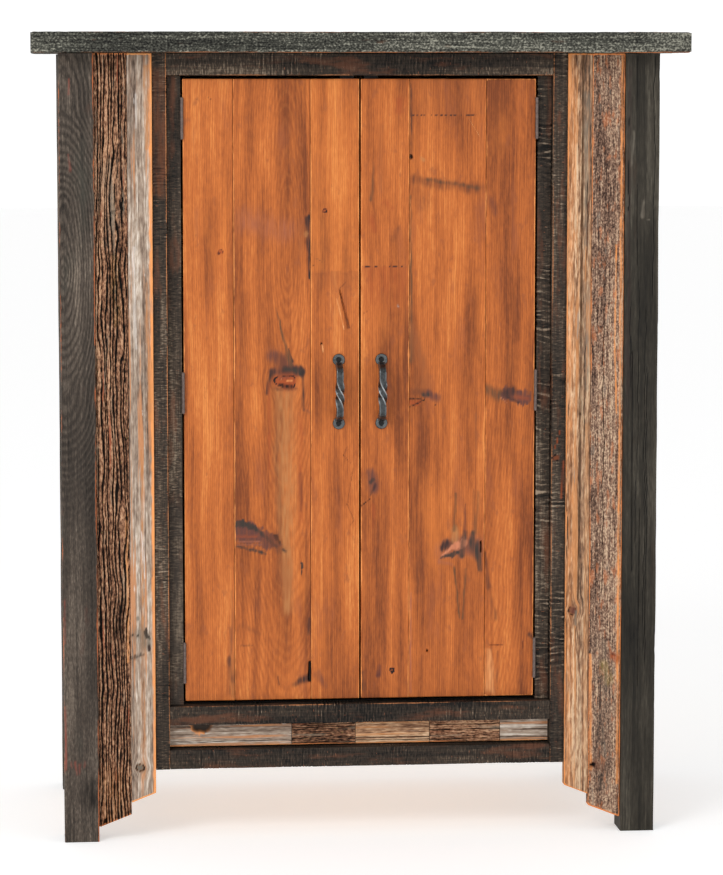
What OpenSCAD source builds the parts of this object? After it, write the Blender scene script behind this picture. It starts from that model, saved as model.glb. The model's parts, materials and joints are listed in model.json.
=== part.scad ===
// Two-door rustic armoire: dark timber posts and top, barn-board infill,
// a dark face frame round a pair of plank doors, and a hanging space inside.
// Millimetres, +Z up. The origin is on the floor, under the middle of the top.
// The doors face -Y. Left is -X.

/* [Overall] */
// Width of the top, end to end
top_w = 1220; // [1000:10:1600]
// Depth of the top, front to back
top_d = 610; // [500:10:760]
// Height from the floor to the top surface
total_h = 1516; // [1200:10:2000]

/* [Top] */
// Thickness of the top boards
top_t = 40; // [25:1:60]
// How far the top stands out in front of the posts
top_front_overhang = 48; // [10:1:70]
// How far the top stands out past the posts at each side
top_side_overhang = 49; // [10:1:70]
// How far the top stands out behind the posts
top_rear_overhang = 12; // [0:1:30]
// Chamfer along the outside edges of the top
top_ease = 4; // [1:0.5:8]

/* [Posts] */
// Width of a post, left to right
post_w = 66; // [45:1:90]
// Depth of a post, front to back
post_d = 70; // [55:1:95]
// Chamfer on the long edges of a post
post_ease = 3; // [1:0.5:6]

/* [Front planks] */
// Width of the plank next to each front post
outer_plank_w = 59; // [40:1:90]
// Width of the plank next to each face stile
inner_plank_w = 46; // [30:1:80]
// Thickness of the front planks
plank_t = 24; // [16:1:32]
// How far the planks sit back from the front of the posts
plank_setback = 8; // [2:1:12]
// Shadow gap between a post and its plank
post_gap = 2; // [0.5:0.5:4]
// Slope of the sawn feet of the planks, in degrees
foot_slope = 21.5; // [0:0.5:30]
// Height of the outer plank's lowest corner
outer_foot = 27; // [10:1:60]
// Height of the inner plank's lowest corner
inner_foot = 72; // [20:1:100]
// Thickness of the boards behind the planks
backer_t = 12; // [6:1:16]

/* [Face frame] */
// Width of the upright face stiles
stile_w = 27; // [20:1:45]
// Thickness of the face frame, front to back
frame_t = 38; // [32:1:50]
// How far the face frame sits back from the front of the posts
frame_setback = 14; // [4:1:20]
// Height of the frame's lower edge above the floor
frame_bottom = 133; // [100:1:180]
// Height of the sill rail and of the bottom rail
rail_h = 37; // [25:1:60]
// Height of the top rail
top_rail_h = 41; // [30:1:70]
// Height of the slot between the two lower rails, filled with blocks
apron_gap = 46.5; // [30:0.5:80]
// How far the apron blocks sit back from the face frame
block_recess = 22; // [8:1:26]
// Shadow gap under the apron blocks
block_gap = 2.5; // [0.5:0.5:5]
// Widths of the five apron blocks, which are scaled together to fill the slot
block_shares = [231, 121, 141, 135, 92];

/* [Doors] */
// Width of the jambs that carry the hinges
jamb_w = 27; // [20:1:45]
// How far the doors and jambs sit back from the face frame
door_recess = 18; // [8:1:24]
// Thickness of the door planks
door_t = 20; // [16:1:28]
// Gap between a door and its jamb
hinge_gap = 3.3; // [3:0.1:5]
// Gap above the doors
door_top_gap = 6; // [2:0.5:10]
// Gap below the doors
door_bottom_gap = 7; // [2:0.5:10]
// Gap between the two doors
meeting_gap = 3.4; // [2.5:0.1:6]
// Width of the plank at the hinges
hinge_plank_w = 93; // [60:1:120]
// Width of the plank at the meeting edge
meeting_plank_w = 91; // [60:1:120]
// Open joint between neighbouring planks
plank_joint = 0.6; // [0.2:0.1:2]
// Radius of the corners at the meeting edge
corner_r = 7; // [2:1:14]
// Height of a door batten
batten_h = 70; // [50:1:100]
// Thickness of a door batten
batten_t = 18; // [12:1:18]
// Distance from a door's top or bottom to its first batten
batten_inset = 90; // [60:5:160]
// Distance from a door's sides to the ends of its battens
batten_end = 14; // [8:1:30]

/* [Hinges] */
// Length of a butt hinge
hinge_len = 76.2; // [50:0.1:102]
// Outside radius of the hinge barrel
knuckle_r = 3.2; // [2.6:0.1:4]
// Radius of the hinge pin
pin_r = 1.6; // [1:0.1:2]
// Radial play of the pin in the door's knuckles
pin_play = 0.08; // [0.02:0.01:0.1]
// Thickness of a hinge leaf
leaf_t = 1.2; // [0.8:0.1:1.4]
// Width of a hinge leaf, behind the barrel
leaf_w = 17; // [12:1:19]
// Distance from a door's top or bottom to its hinge
hinge_inset = 35; // [20:1:80]

/* [Screws] */
// Radial play of every screw in its hole
screw_play = 0.05; // [0.02:0.01:0.2]
// Shank radius of the hinge screws
hinge_screw_r = 1.6; // [1.2:0.1:2]
// Length of the hinge screws
hinge_screw_len = 15; // [10:1:20]
// Shank radius of the batten screws
batten_screw_r = 2; // [1.5:0.1:2.5]
// How deep the batten screws go into the door planks
batten_screw_bite = 14; // [8:1:15]
// Shank radius of the screws that hold the top
top_screw_r = 2.5; // [2:0.1:3.5]
// How deep the top's screws go into the top
top_screw_bite = 25; // [12:1:30]
// Shank radius of the pull screws
pull_screw_r = 2.2; // [1.5:0.1:3]
// How deep the pull screws go into the door
pull_screw_bite = 15; // [8:1:15]

/* [Pulls] */
// Distance between the two fixing screws of a pull
pull_span = 119.5; // [90:0.5:160]
// Radius of a pull's round end pads
pad_r = 11.5; // [9:0.1:16]
// Thickness of the pads
pad_t = 3.5; // [2:0.5:5]
// Side of the square bar
bar = 13; // [8:0.5:14]
// Distance from the door to the middle of the bar
standoff = 27; // [20:1:40]
// Length of the twisted part of the bar
twist_len = 48; // [30:1:60]
// Distance from a door's meeting edge to its pull
pull_inset = 38.5; // [25:0.5:60]

/* [Sides and back] */
// Number of planks in each side
side_plank_count = 4; // [2:1:8]
// Number of boards in the back
back_board_count = 7; // [4:1:12]
// Thickness of the side planks
side_plank_t = 20; // [14:1:26]
// How far the side planks sit in from the outside of the posts
side_setback = 12; // [6:1:20]
// Height of the side and back rails
side_rail_h = 60; // [40:1:90]
// How much the side rails stand out past the side planks
side_rail_proud = 4; // [1:1:6]
// Open joint between neighbouring side or back boards
board_joint = 1; // [0.5:0.5:3]
// Thickness of the back boards
back_t = 12; // [6:1:18]
// How far the back boards sit in from the back of the posts
back_setback = 8; // [2:1:20]
// Thickness of the back rails
back_rail_t = 18; // [12:1:26]

/* [Catches] */
// Width of a catch's magnet case
magnet_w = 26; // [16:1:40]
// Depth of a magnet case, front to back
magnet_d = 28; // [16:1:36]
// Height of a magnet case
magnet_h = 18; // [12:1:24]
// Width of a strike plate
strike_w = 24; // [16:1:36]
// Height of a strike plate
strike_h = 15; // [10:1:20]
// Thickness of a strike plate
strike_t = 1.2; // [0.8:0.1:2]
// Gap between a magnet and its closed strike plate
catch_gap = 0.4; // [0.3:0.1:1]
// Distance from a door's meeting edge to its catch
catch_inset = 8; // [4:1:30]

/* [Inside] */
// Thickness of the floor and of the hat shelf
shelf_t = 18; // [12:1:25]
// Distance from the underside of the top to the hat shelf's upper face
hat_height = 290; // [200:5:400]
// Thickness of the cleats under the floor and the shelf
cleat_t = 18; // [12:1:25]
// Height of the shelf cleats
cleat_h = 70; // [60:1:100]
// Height of the floor cleats
floor_cleat_h = 40; // [25:1:60]
// Radius of the hanging rod
rod_r = 16; // [10:0.5:18]
// Distance from the hat shelf's underside to the middle of the rod
rod_drop = 42; // [36:1:60]
// Depth of the stretcher behind the top rail
stretcher_d = 38; // [30:1:60]

/* [Hidden] */
$fn = 32;

// Colours
dark_timber = [0.13, 0.125, 0.115];
black_frame = [0.16, 0.14, 0.12];
brown_barn = [0.36, 0.26, 0.18];
grey_barn = [0.52, 0.48, 0.43];
door_pine = [0.72, 0.36, 0.14];
plain_pine = [0.72, 0.57, 0.38];
steel = [0.55, 0.54, 0.52];
iron = [0.24, 0.25, 0.26];
ceramic = [0.85, 0.83, 0.78];

// Faces that several parts share, on the positive side of X
case_top = total_h - top_t;
post_x = top_w / 2 - top_side_overhang;
post_in_x = post_x - post_w;
front_y = -top_d / 2 + top_front_overhang;
rear_y = top_d / 2 - top_rear_overhang;
plank_y = front_y + plank_setback;
outer_plank_x = post_in_x - post_gap;
inner_plank_x = outer_plank_x - outer_plank_w;
stile_x = inner_plank_x - inner_plank_w;
frame_in_x = stile_x - stile_w;
jamb_in_x = frame_in_x - jamb_w;
frame_y = front_y + frame_setback;
frame_back_y = frame_y + frame_t;
apron_low = frame_bottom + rail_h;
sill_low = apron_low + apron_gap;
sill_top = sill_low + rail_h;
rail_low = case_top - top_rail_h;

door_y = frame_y + door_recess;
door_back_y = door_y + door_t;
door_x = jamb_in_x - hinge_gap;
door_in_x = meeting_gap / 2;
door_low = sill_top + door_bottom_gap;
door_top = rail_low - door_top_gap;
door_mid = (door_low + door_top) / 2;
hinge_joint_x = door_x - hinge_plank_w;
meeting_joint_x = door_in_x + meeting_plank_w;
batten_lows = [door_low + batten_inset, door_mid - batten_h / 2, door_top - batten_inset - batten_h];

side_in_x = post_x - side_setback - side_plank_t;
side_front_y = front_y + post_d;
side_rear_y = rear_y - post_d;
back_y = rear_y - back_setback - back_t;
back_rail_y = back_y - back_rail_t;
floor_low = sill_top - shelf_t;
shelf_low = case_top - hat_height - shelf_t;
stretcher_back_y = frame_back_y + stretcher_d;
cleat_in_x = side_in_x - cleat_t;
top_board_d = top_d / 3;

// Hinges. Their webs and leaves lie behind the barrel, in the gap beside the door
knuckle_count = 5;
knuckle_clear = 0.3;
pin_x = jamb_in_x - hinge_gap / 2;
pin_y = door_y - knuckle_r - knuckle_clear;
knuckle_h = hinge_len / knuckle_count;
hinge_lows = [door_low + hinge_inset, door_mid - hinge_len / 2, door_top - hinge_inset - hinge_len];
pin_tip = 1.2;
pin_fit = 0.02;
tip_r = knuckle_r - 0.4;
frame_leaf_face = jamb_in_x - leaf_t;
door_leaf_face = door_x + leaf_t;
leaf_screw_heights = [0.16, 0.5, 0.84] * hinge_len;
leaf_screw_y = door_y + leaf_w / 2;
web_overlap = 1;

// Screw heads are countersunk at 45 degrees
hinge_head_r = hinge_screw_r + leaf_t - 0.1;
batten_head_r = 1.9 * batten_screw_r;
top_head_r = 2 * top_screw_r;
pull_head_r = 1.9 * pull_screw_r;
pull_head_sink = 0.6;
hole_mouth = 1;

pull_x = door_in_x + pull_inset;
rod_z = shelf_low - rod_drop;
rod_y = (stretcher_back_y + back_rail_y) / 2;
socket_flange_t = 3;
socket_flange_r = rod_r + 8;
socket_cup_r = rod_r + 3;
socket_cup_len = 15;
socket_play = 0.2;

function sum(list, n) = n <= 0 ? 0 : list[n - 1] + sum(list, n - 1);

// A rectangle from low to high with its four corners cut back by ease
module eased_section(low, high, ease) {
  polygon([
    [low.x + ease, low.y], [high.x - ease, low.y], [high.x, low.y + ease], [high.x, high.y - ease],
    [high.x - ease, high.y], [low.x + ease, high.y], [low.x, high.y - ease], [low.x, low.y + ease]
  ]);
}

// A board between two corners that runs along Z
module upright(low, high, ease = 1) {
  translate([0, 0, low.z])
    linear_extrude(high.z - low.z)
      eased_section([low.x, low.y], [high.x, high.y], ease);
}

// A board between two corners that runs along X
module level_x(low, high, ease = 1) {
  translate([low.x, 0, 0])
    rotate([90, 0, 90])
      linear_extrude(high.x - low.x)
        eased_section([low.y, low.z], [high.y, high.z], ease);
}

// A board between two corners that runs along Y
module level_y(low, high, ease = 1) {
  translate([0, high.y, 0])
    rotate([90, 0, 0])
      linear_extrude(high.y - low.y)
        eased_section([low.x, low.z], [high.x, high.z], ease);
}

// A plain board between two corners
module block(low, high) {
  translate(low) cube(high - low);
}

// The left side is the mirror image of the right
module on_left() {
  mirror([1, 0, 0]) children();
}

module on_both_sides() {
  children();
  on_left() children();
}

// A countersunk screw from its head's face at the origin along +Z, or its hole where play is given
module screw(r, head_r, length, play = 0) {
  cylinder(h = head_r - r, r1 = head_r + play, r2 = r + play);
  cylinder(h = length + play, r = r + play);
  if (play > 0)
    translate([0, 0, -hole_mouth]) cylinder(h = hole_mouth, r = head_r + play);
}

// ---- Top ----

// Four screws up into the front board and four into the rear board
module top_screws(play = 0) {
  for (share = [-0.75, -0.25, 0.25, 0.75]) {
    translate([share * post_in_x, frame_back_y + stretcher_d / 2, rail_low])
      screw(top_screw_r, top_head_r, top_rail_h + top_screw_bite, play);
    translate([share * post_in_x, back_rail_y + back_rail_t / 2, case_top - side_rail_h])
      screw(top_screw_r, top_head_r, side_rail_h + top_screw_bite, play);
  }
}

// Board i of three, counted from the front
module top_board(i) {
  low_y = -top_d / 2 + i * top_board_d;
  difference() {
    level_x([-top_w / 2, low_y, case_top], [top_w / 2, low_y + top_board_d, total_h], top_ease);
    top_screws(screw_play);
  }
}

module top_board_front() {
  color(dark_timber) top_board(0);
}

module top_board_middle() {
  color(dark_timber) top_board(1);
}

module top_board_rear() {
  color(dark_timber) top_board(2);
}

module top_fixing_screws() {
  color(steel) top_screws();
}

// ---- Posts ----

module post(low_y) {
  upright([post_in_x, low_y, 0], [post_x, low_y + post_d, case_top], post_ease);
}

module front_left_post() {
  color(dark_timber) on_left() post(front_y);
}

module front_right_post() {
  color(dark_timber) post(front_y);
}

module rear_left_post() {
  color(dark_timber) on_left() post(side_rear_y);
}

module rear_right_post() {
  color(dark_timber) post(side_rear_y);
}

// ---- Front planks ----

// A plank whose foot is sawn at a slope, lowest at its outer edge
module sloped_plank(out_x, width, foot) {
  difference() {
    upright([out_x - width, plank_y, foot], [out_x, plank_y + plank_t, case_top], 1.5);
    translate([out_x, plank_y - 1, foot])
      rotate([0, foot_slope, 0])
        translate([-3 * width, 0, -2 * width])
          cube([4 * width, plank_t + 2, 2 * width]);
  }
}

module outer_plank() {
  sloped_plank(outer_plank_x, outer_plank_w, outer_foot);
}

module inner_plank() {
  sloped_plank(inner_plank_x, inner_plank_w, inner_foot);
}

module left_outer_plank() {
  color(brown_barn) on_left() outer_plank();
}

module left_inner_plank() {
  color(grey_barn) on_left() inner_plank();
}

module right_inner_plank() {
  color(grey_barn) inner_plank();
}

module right_outer_plank() {
  color(brown_barn) outer_plank();
}

module plank_backers() {
  back = plank_y + plank_t;
  color(plain_pine)
    on_both_sides()
      block([stile_x, back, frame_bottom], [post_in_x, back + backer_t, case_top]);
}

// ---- Face frame ----

module face_stile() {
  upright([frame_in_x, frame_y, frame_bottom], [stile_x, frame_back_y, case_top]);
}

module face_rail(low_z, height) {
  level_x([-frame_in_x, frame_y, low_z], [frame_in_x, frame_back_y, low_z + height]);
}

module left_face_stile() {
  color(black_frame) on_left() face_stile();
}

module right_face_stile() {
  color(black_frame) face_stile();
}

module top_face_rail() {
  color(black_frame) face_rail(rail_low, top_rail_h);
}

module sill_rail() {
  color(black_frame) face_rail(sill_low, rail_h);
}

module bottom_face_rail() {
  color(black_frame) face_rail(frame_bottom, rail_h);
}

module jamb() {
  difference() {
    upright([jamb_in_x, door_y, sill_top], [frame_in_x, door_back_y, rail_low]);
    frame_leaf_screws(screw_play);
  }
}

module left_jamb() {
  color(black_frame) on_left() jamb();
}

module right_jamb() {
  color(black_frame) jamb();
}

module apron_backer() {
  color(plain_pine)
    block([-stile_x, frame_back_y, frame_bottom], [stile_x, frame_back_y + backer_t, floor_low]);
}

module apron_blocks() {
  low_y = frame_y + block_recess;
  width_scale = 2 * frame_in_x / sum(block_shares, len(block_shares));
  for (i = [0:len(block_shares) - 1]) {
    low_x = -frame_in_x + width_scale * sum(block_shares, i);
    high_x = low_x + width_scale * block_shares[i] - board_joint;
    color(i % 2 == 0 ? grey_barn : brown_barn)
      level_x([low_x, low_y, apron_low + block_gap], [high_x, frame_back_y, sill_low]);
  }
}

module front_stretcher() {
  color(plain_pine)
    difference() {
      block([-post_in_x, frame_back_y, rail_low], [post_in_x, stretcher_back_y, case_top]);
      top_screws(screw_play);
    }
}

// ---- Sides and back ----

module side_planks() {
  pitch = (side_rear_y - side_front_y + board_joint) / side_plank_count;
  low_z = frame_bottom + side_rail_h;
  for (i = [0:side_plank_count - 1]) {
    low_y = side_front_y + i * pitch;
    color(i % 2 == 0 ? grey_barn : brown_barn)
      upright(
        [side_in_x, low_y, low_z],
        [side_in_x + side_plank_t, low_y + pitch - board_joint, case_top - side_rail_h]
      );
  }
}

module left_side_planks() {
  on_left() side_planks();
}

module right_side_planks() {
  side_planks();
}

module side_rails() {
  out_x = side_in_x + side_plank_t + side_rail_proud;
  for (low_z = [frame_bottom, case_top - side_rail_h])
    level_y([side_in_x, side_front_y, low_z], [out_x, side_rear_y, low_z + side_rail_h]);
}

module left_side_rails() {
  color(black_frame) on_left() side_rails();
}

module right_side_rails() {
  color(black_frame) side_rails();
}

module back_boards() {
  pitch = (2 * post_in_x + board_joint) / back_board_count;
  color(plain_pine)
    for (i = [0:back_board_count - 1]) {
      low_x = -post_in_x + i * pitch;
      upright([low_x, back_y, frame_bottom], [low_x + pitch - board_joint, back_y + back_t, case_top]);
    }
}

module back_rails() {
  color(plain_pine)
    difference() {
      union() {
        block([-post_in_x, back_rail_y, case_top - side_rail_h], [post_in_x, back_y, case_top]);
        block([-post_in_x, back_rail_y, frame_bottom], [post_in_x, back_y, floor_low]);
      }
      top_screws(screw_play);
    }
}

// ---- Inside ----

// A board that fills the case from low_y to the back boards, notched round the posts
module shelf_board(low_y, low_z) {
  notch = [side_in_x - post_in_x, post_d, shelf_t + 2];
  difference() {
    block([-side_in_x, low_y, low_z], [side_in_x, back_y, low_z + shelf_t]);
    on_both_sides()
      for (y = [front_y, side_rear_y])
        translate([post_in_x, y, low_z - 1]) cube(notch + [1, 0, 0]);
  }
}

module cabinet_floor() {
  color(plain_pine) shelf_board(frame_back_y, floor_low);
}

module hat_shelf() {
  color(plain_pine) shelf_board(stretcher_back_y, shelf_low);
}

module floor_cleats() {
  color(plain_pine)
    on_both_sides()
      block([cleat_in_x, side_front_y, floor_low - floor_cleat_h], [side_in_x, side_rear_y, floor_low]);
}

module shelf_cleats() {
  color(plain_pine)
    on_both_sides()
      block([cleat_in_x, stretcher_back_y, shelf_low - cleat_h], [side_in_x, side_rear_y, shelf_low]);
}

module hanging_rod() {
  half = cleat_in_x - socket_flange_t - socket_play;
  color(steel)
    translate([-half, rod_y, rod_z])
      rotate([0, 90, 0])
        cylinder(h = 2 * half, r = rod_r);
}

// A flange with a cup that the rod's end lies in
module rod_socket() {
  translate([cleat_in_x, rod_y, rod_z])
    rotate([0, -90, 0])
      difference() {
        union() {
          cylinder(h = socket_flange_t, r = socket_flange_r);
          cylinder(h = socket_cup_len, r = socket_cup_r);
        }
        translate([0, 0, socket_flange_t])
          cylinder(h = socket_cup_len, r = rod_r + socket_play);
      }
}

module rod_sockets() {
  color(steel) on_both_sides() rod_socket();
}

module catch_magnets() {
  low = [door_in_x + catch_inset, door_back_y + strike_t + catch_gap, rail_low - magnet_h];
  color(ceramic)
    on_both_sides()
      block(low, low + [magnet_w, magnet_d, magnet_h]);
}

// ---- Hinges, drawn for the right door ----

// Knuckles from the list, with the webs that join them to a leaf whose nearer face to X=0 is at leaf_x
module knuckles(list, leaf_x, bore_r, clear) {
  height = knuckle_h - 2 * clear;
  for (i = list)
    translate([0, 0, i * knuckle_h + clear])
      difference() {
        union() {
          translate([pin_x, pin_y, 0]) cylinder(h = height, r = knuckle_r);
          block([leaf_x, pin_y, 0], [leaf_x + leaf_t, door_y + web_overlap, height]);
        }
        translate([pin_x, pin_y, -1]) cylinder(h = height + 2, r = bore_r);
      }
}

// The three screws of each leaf, whose heads lie in the face at face_x; turn is 90 towards +X
module leaf_screws(face_x, turn, play) {
  for (hinge_z = hinge_lows, z = leaf_screw_heights)
    translate([face_x, leaf_screw_y, hinge_z + z])
      rotate([0, turn, 0])
        screw(hinge_screw_r, hinge_head_r, hinge_screw_len, play);
}

module frame_leaf_screws(play = 0) {
  leaf_screws(frame_leaf_face, 90, play);
}

module door_leaf_screws(play = 0) {
  leaf_screws(door_leaf_face, -90, play);
}

module leaves(list, leaf_x, bore_r, clear) {
  for (z = hinge_lows)
    translate([0, 0, z]) {
      knuckles(list, leaf_x, bore_r, clear);
      block([leaf_x, door_y, 0], [leaf_x + leaf_t, door_y + leaf_w, hinge_len]);
    }
}

module frame_leaves() {
  difference() {
    leaves([0, 2, 4], frame_leaf_face, pin_r + pin_fit, 0);
    frame_leaf_screws(screw_play);
  }
}

module door_leaves() {
  difference() {
    leaves([1, 3], door_x, pin_r + pin_play, knuckle_clear);
    door_leaf_screws(screw_play);
  }
}

// A pin with a button at each end
module pins() {
  for (z = hinge_lows)
    translate([pin_x, pin_y, z]) {
      cylinder(h = hinge_len, r = pin_r);
      translate([0, 0, hinge_len]) cylinder(h = pin_tip, r1 = tip_r, r2 = pin_r);
      translate([0, 0, -pin_tip]) cylinder(h = pin_tip, r1 = pin_r, r2 = tip_r);
    }
}

module hinge_frame_leaves() {
  color(steel) on_both_sides() frame_leaves();
}

module hinge_pins() {
  color(steel) on_both_sides() pins();
}

module hinge_frame_screws() {
  color(steel) on_both_sides() frame_leaf_screws();
}

// ---- Doors, drawn for the right ----

// Two screws through each batten into each plank
module door_batten_screws(play = 0) {
  low_x = door_in_x + batten_end;
  high_x = door_x - batten_end;
  centres = [
    (low_x + meeting_joint_x) / 2,
    (meeting_joint_x + hinge_joint_x) / 2,
    (hinge_joint_x + high_x) / 2
  ];
  for (x = centres, z = batten_lows, share = [0.25, 0.75])
    translate([x, door_back_y + batten_t, z + share * batten_h])
      rotate([90, 0, 0])
        screw(batten_screw_r, batten_head_r, batten_t + batten_screw_bite, play);
}

module hinge_plank() {
  difference() {
    upright([hinge_joint_x, door_y, door_low], [door_x, door_back_y, door_top]);
    door_batten_screws(screw_play);
    door_leaf_screws(screw_play);
  }
}

module middle_plank() {
  low = [meeting_joint_x + plank_joint, door_y, door_low];
  difference() {
    upright(low, [hinge_joint_x - plank_joint, door_back_y, door_top]);
    door_batten_screws(screw_play);
  }
}

// The outline of the meeting plank, whose two free corners are round
module meeting_outline() {
  height = door_top - door_low;
  translate([door_in_x + corner_r, door_low]) square([meeting_plank_w - corner_r, height]);
  translate([door_in_x, door_low + corner_r]) square([meeting_plank_w, height - 2 * corner_r]);
  for (z = [door_low + corner_r, door_top - corner_r])
    translate([door_in_x + corner_r, z]) circle(corner_r);
}

module meeting_plank() {
  difference() {
    translate([0, door_back_y, 0])
      rotate([90, 0, 0])
        linear_extrude(door_t) meeting_outline();
    door_batten_screws(screw_play);
    at_pull() pull_screws(screw_play);
  }
}

module battens() {
  difference() {
    for (z = batten_lows)
      level_x(
        [door_in_x + batten_end, door_back_y, z],
        [door_x - batten_end, door_back_y + batten_t, z + batten_h]
      );
    door_batten_screws(screw_play);
  }
}

module strike_plate() {
  low = [door_in_x + catch_inset, door_back_y, door_top - strike_h - 1];
  block(low, low + [strike_w, strike_t, strike_h]);
}

// ---- Pulls, drawn round the door's face and standing out along -Y ----

module at_pull() {
  translate([pull_x, door_y, door_mid]) children();
}

module pull_screws(play = 0) {
  for (z = [-pull_span / 2, pull_span / 2])
    translate([0, pull_head_sink - pad_t, z])
      rotate([-90, 0, 0])
        screw(pull_screw_r, pull_head_r, pad_t - pull_head_sink + pull_screw_bite, play);
}

// The upper arm of the pull: out from the pad, then along to the twist
module pull_arm() {
  inner = standoff - bar / 2;
  outer = standoff + bar / 2;
  root = pull_span / 2 - pad_r + 2;
  bend = twist_len / 2 + bar / 2;
  translate([-bar / 2, 0, 0])
    rotate([90, 0, 90])
      linear_extrude(bar)
        polygon([
          [-pad_t / 2, root + bar / 2], [-outer, bend], [-outer, twist_len / 2],
          [-inner, twist_len / 2], [-pad_t / 2, root - bar / 2]
        ]);
}

module pull_pad() {
  translate([0, 0, pull_span / 2])
    rotate([90, 0, 0]) {
      cylinder(h = pad_t / 2, r = pad_r);
      translate([0, 0, pad_t / 2]) cylinder(h = pad_t / 2, r1 = pad_r, r2 = pad_r - pad_t / 2);
    }
}

// Both pulls twist the same way, so they aren't mirror images
module pull() {
  difference() {
    union() {
      for (up = [0, 1])
        mirror([0, 0, up]) {
          pull_arm();
          pull_pad();
        }
      translate([0, -standoff, -twist_len / 2])
        linear_extrude(twist_len, twist = 180, slices = 20)
          square(bar, center = true);
    }
    pull_screws(screw_play);
  }
}

// ---- Left door ----

module left_door_hinge_plank() {
  color(door_pine) on_left() hinge_plank();
}

module left_door_middle_plank() {
  color(door_pine) on_left() middle_plank();
}

module left_door_meeting_plank() {
  color(door_pine) on_left() meeting_plank();
}

module left_door_battens() {
  color(door_pine) on_left() battens();
}

module left_batten_screws() {
  color(steel) on_left() door_batten_screws();
}

module left_door_leaves() {
  color(steel) on_left() door_leaves();
}

module left_door_leaf_screws() {
  color(steel) on_left() door_leaf_screws();
}

module left_strike_plate() {
  color(steel) on_left() strike_plate();
}

module left_pull() {
  color(iron) translate([-2 * pull_x, 0, 0]) at_pull() pull();
}

module left_pull_screws() {
  color(iron) translate([-2 * pull_x, 0, 0]) at_pull() pull_screws();
}

// ---- Right door ----

module right_door_hinge_plank() {
  color(door_pine) hinge_plank();
}

module right_door_middle_plank() {
  color(door_pine) middle_plank();
}

module right_door_meeting_plank() {
  color(door_pine) meeting_plank();
}

module right_door_battens() {
  color(door_pine) battens();
}

module right_batten_screws() {
  color(steel) door_batten_screws();
}

module right_door_leaves() {
  color(steel) door_leaves();
}

module right_door_leaf_screws() {
  color(steel) door_leaf_screws();
}

module right_strike_plate() {
  color(steel) strike_plate();
}

module right_pull() {
  color(iron) at_pull() pull();
}

module right_pull_screws() {
  color(iron) at_pull() pull_screws();
}

top_board_front();
top_board_middle();
top_board_rear();
front_left_post();
front_right_post();
rear_left_post();
rear_right_post();
left_outer_plank();
left_inner_plank();
right_inner_plank();
right_outer_plank();
plank_backers();
left_face_stile();
right_face_stile();
top_face_rail();
sill_rail();
bottom_face_rail();
left_jamb();
right_jamb();
apron_backer();
apron_blocks();
left_side_planks();
right_side_planks();
left_side_rails();
right_side_rails();
back_boards();
back_rails();
front_stretcher();
top_fixing_screws();
cabinet_floor();
floor_cleats();
hat_shelf();
shelf_cleats();
hanging_rod();
rod_sockets();
catch_magnets();
hinge_frame_leaves();
hinge_pins();
hinge_frame_screws();
left_door_hinge_plank();
left_door_middle_plank();
left_door_meeting_plank();
left_door_battens();
left_batten_screws();
left_door_leaves();
left_door_leaf_screws();
left_pull();
left_pull_screws();
left_strike_plate();
right_door_hinge_plank();
right_door_middle_plank();
right_door_meeting_plank();
right_door_battens();
right_batten_screws();
right_door_leaves();
right_door_leaf_screws();
right_pull();
right_pull_screws();
right_strike_plate();
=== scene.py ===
import json
import math
import bpy
import numpy as np
from mathutils import Matrix, Vector


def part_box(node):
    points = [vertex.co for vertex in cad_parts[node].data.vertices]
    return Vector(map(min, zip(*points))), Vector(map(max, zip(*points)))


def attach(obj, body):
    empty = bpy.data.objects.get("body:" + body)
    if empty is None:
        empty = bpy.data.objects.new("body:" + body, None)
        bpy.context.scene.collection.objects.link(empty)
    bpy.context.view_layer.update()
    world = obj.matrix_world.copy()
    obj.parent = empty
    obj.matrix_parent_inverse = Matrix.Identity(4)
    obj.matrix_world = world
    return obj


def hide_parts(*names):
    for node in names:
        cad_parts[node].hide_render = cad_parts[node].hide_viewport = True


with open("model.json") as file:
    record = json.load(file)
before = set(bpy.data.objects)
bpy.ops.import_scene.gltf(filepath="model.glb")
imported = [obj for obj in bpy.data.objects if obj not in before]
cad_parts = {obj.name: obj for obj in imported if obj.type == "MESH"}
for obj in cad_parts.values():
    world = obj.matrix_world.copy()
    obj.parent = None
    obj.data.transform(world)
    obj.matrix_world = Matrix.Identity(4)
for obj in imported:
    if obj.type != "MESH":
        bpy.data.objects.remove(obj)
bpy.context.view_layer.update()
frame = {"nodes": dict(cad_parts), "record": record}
print("frame loaded:", len(frame["nodes"]), "pieces")


# camera, light and floor

studio = {
    "cameraAt": (-0.6015, -6.5937, 1.4421),
    "turn": 5.42,               # degrees to the right of straight on
    "tilt": 6.108,              # degrees down
    "lens": 140.66,             # mm
    "sensor": 36.0,             # mm
    "wallGlow": 1.1,            # white all round, near the horizon
    "ceilingGlow": 0.55,        # dimmer overhead
    "keyPower": 120.0,
    "fillPower": 18.0,
    "lightSize": 2.2,
    "keyAt": (-3.0, -4.4, 3.9),
    "fillAt": (3.8, -4.4, 2.0),
    "floorColor": (0.80, 0.80, 0.80),
    "floorGlow": 0.46,
}


def lookFrom(at, target):
    # a matrix whose -Z axis runs from at to target
    return (Vector(target) - Vector(at)).to_track_quat("-Z", "Y").to_matrix().to_4x4()


def addAreaLight(name, at, target, power, size):
    light = bpy.data.lights.new(name, "AREA")
    light.energy, light.size = power, size
    lamp = bpy.data.objects.new(name, light)
    lamp.matrix_world = Matrix.Translation(at) @ lookFrom(at, target)
    bpy.context.scene.collection.objects.link(lamp)


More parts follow.
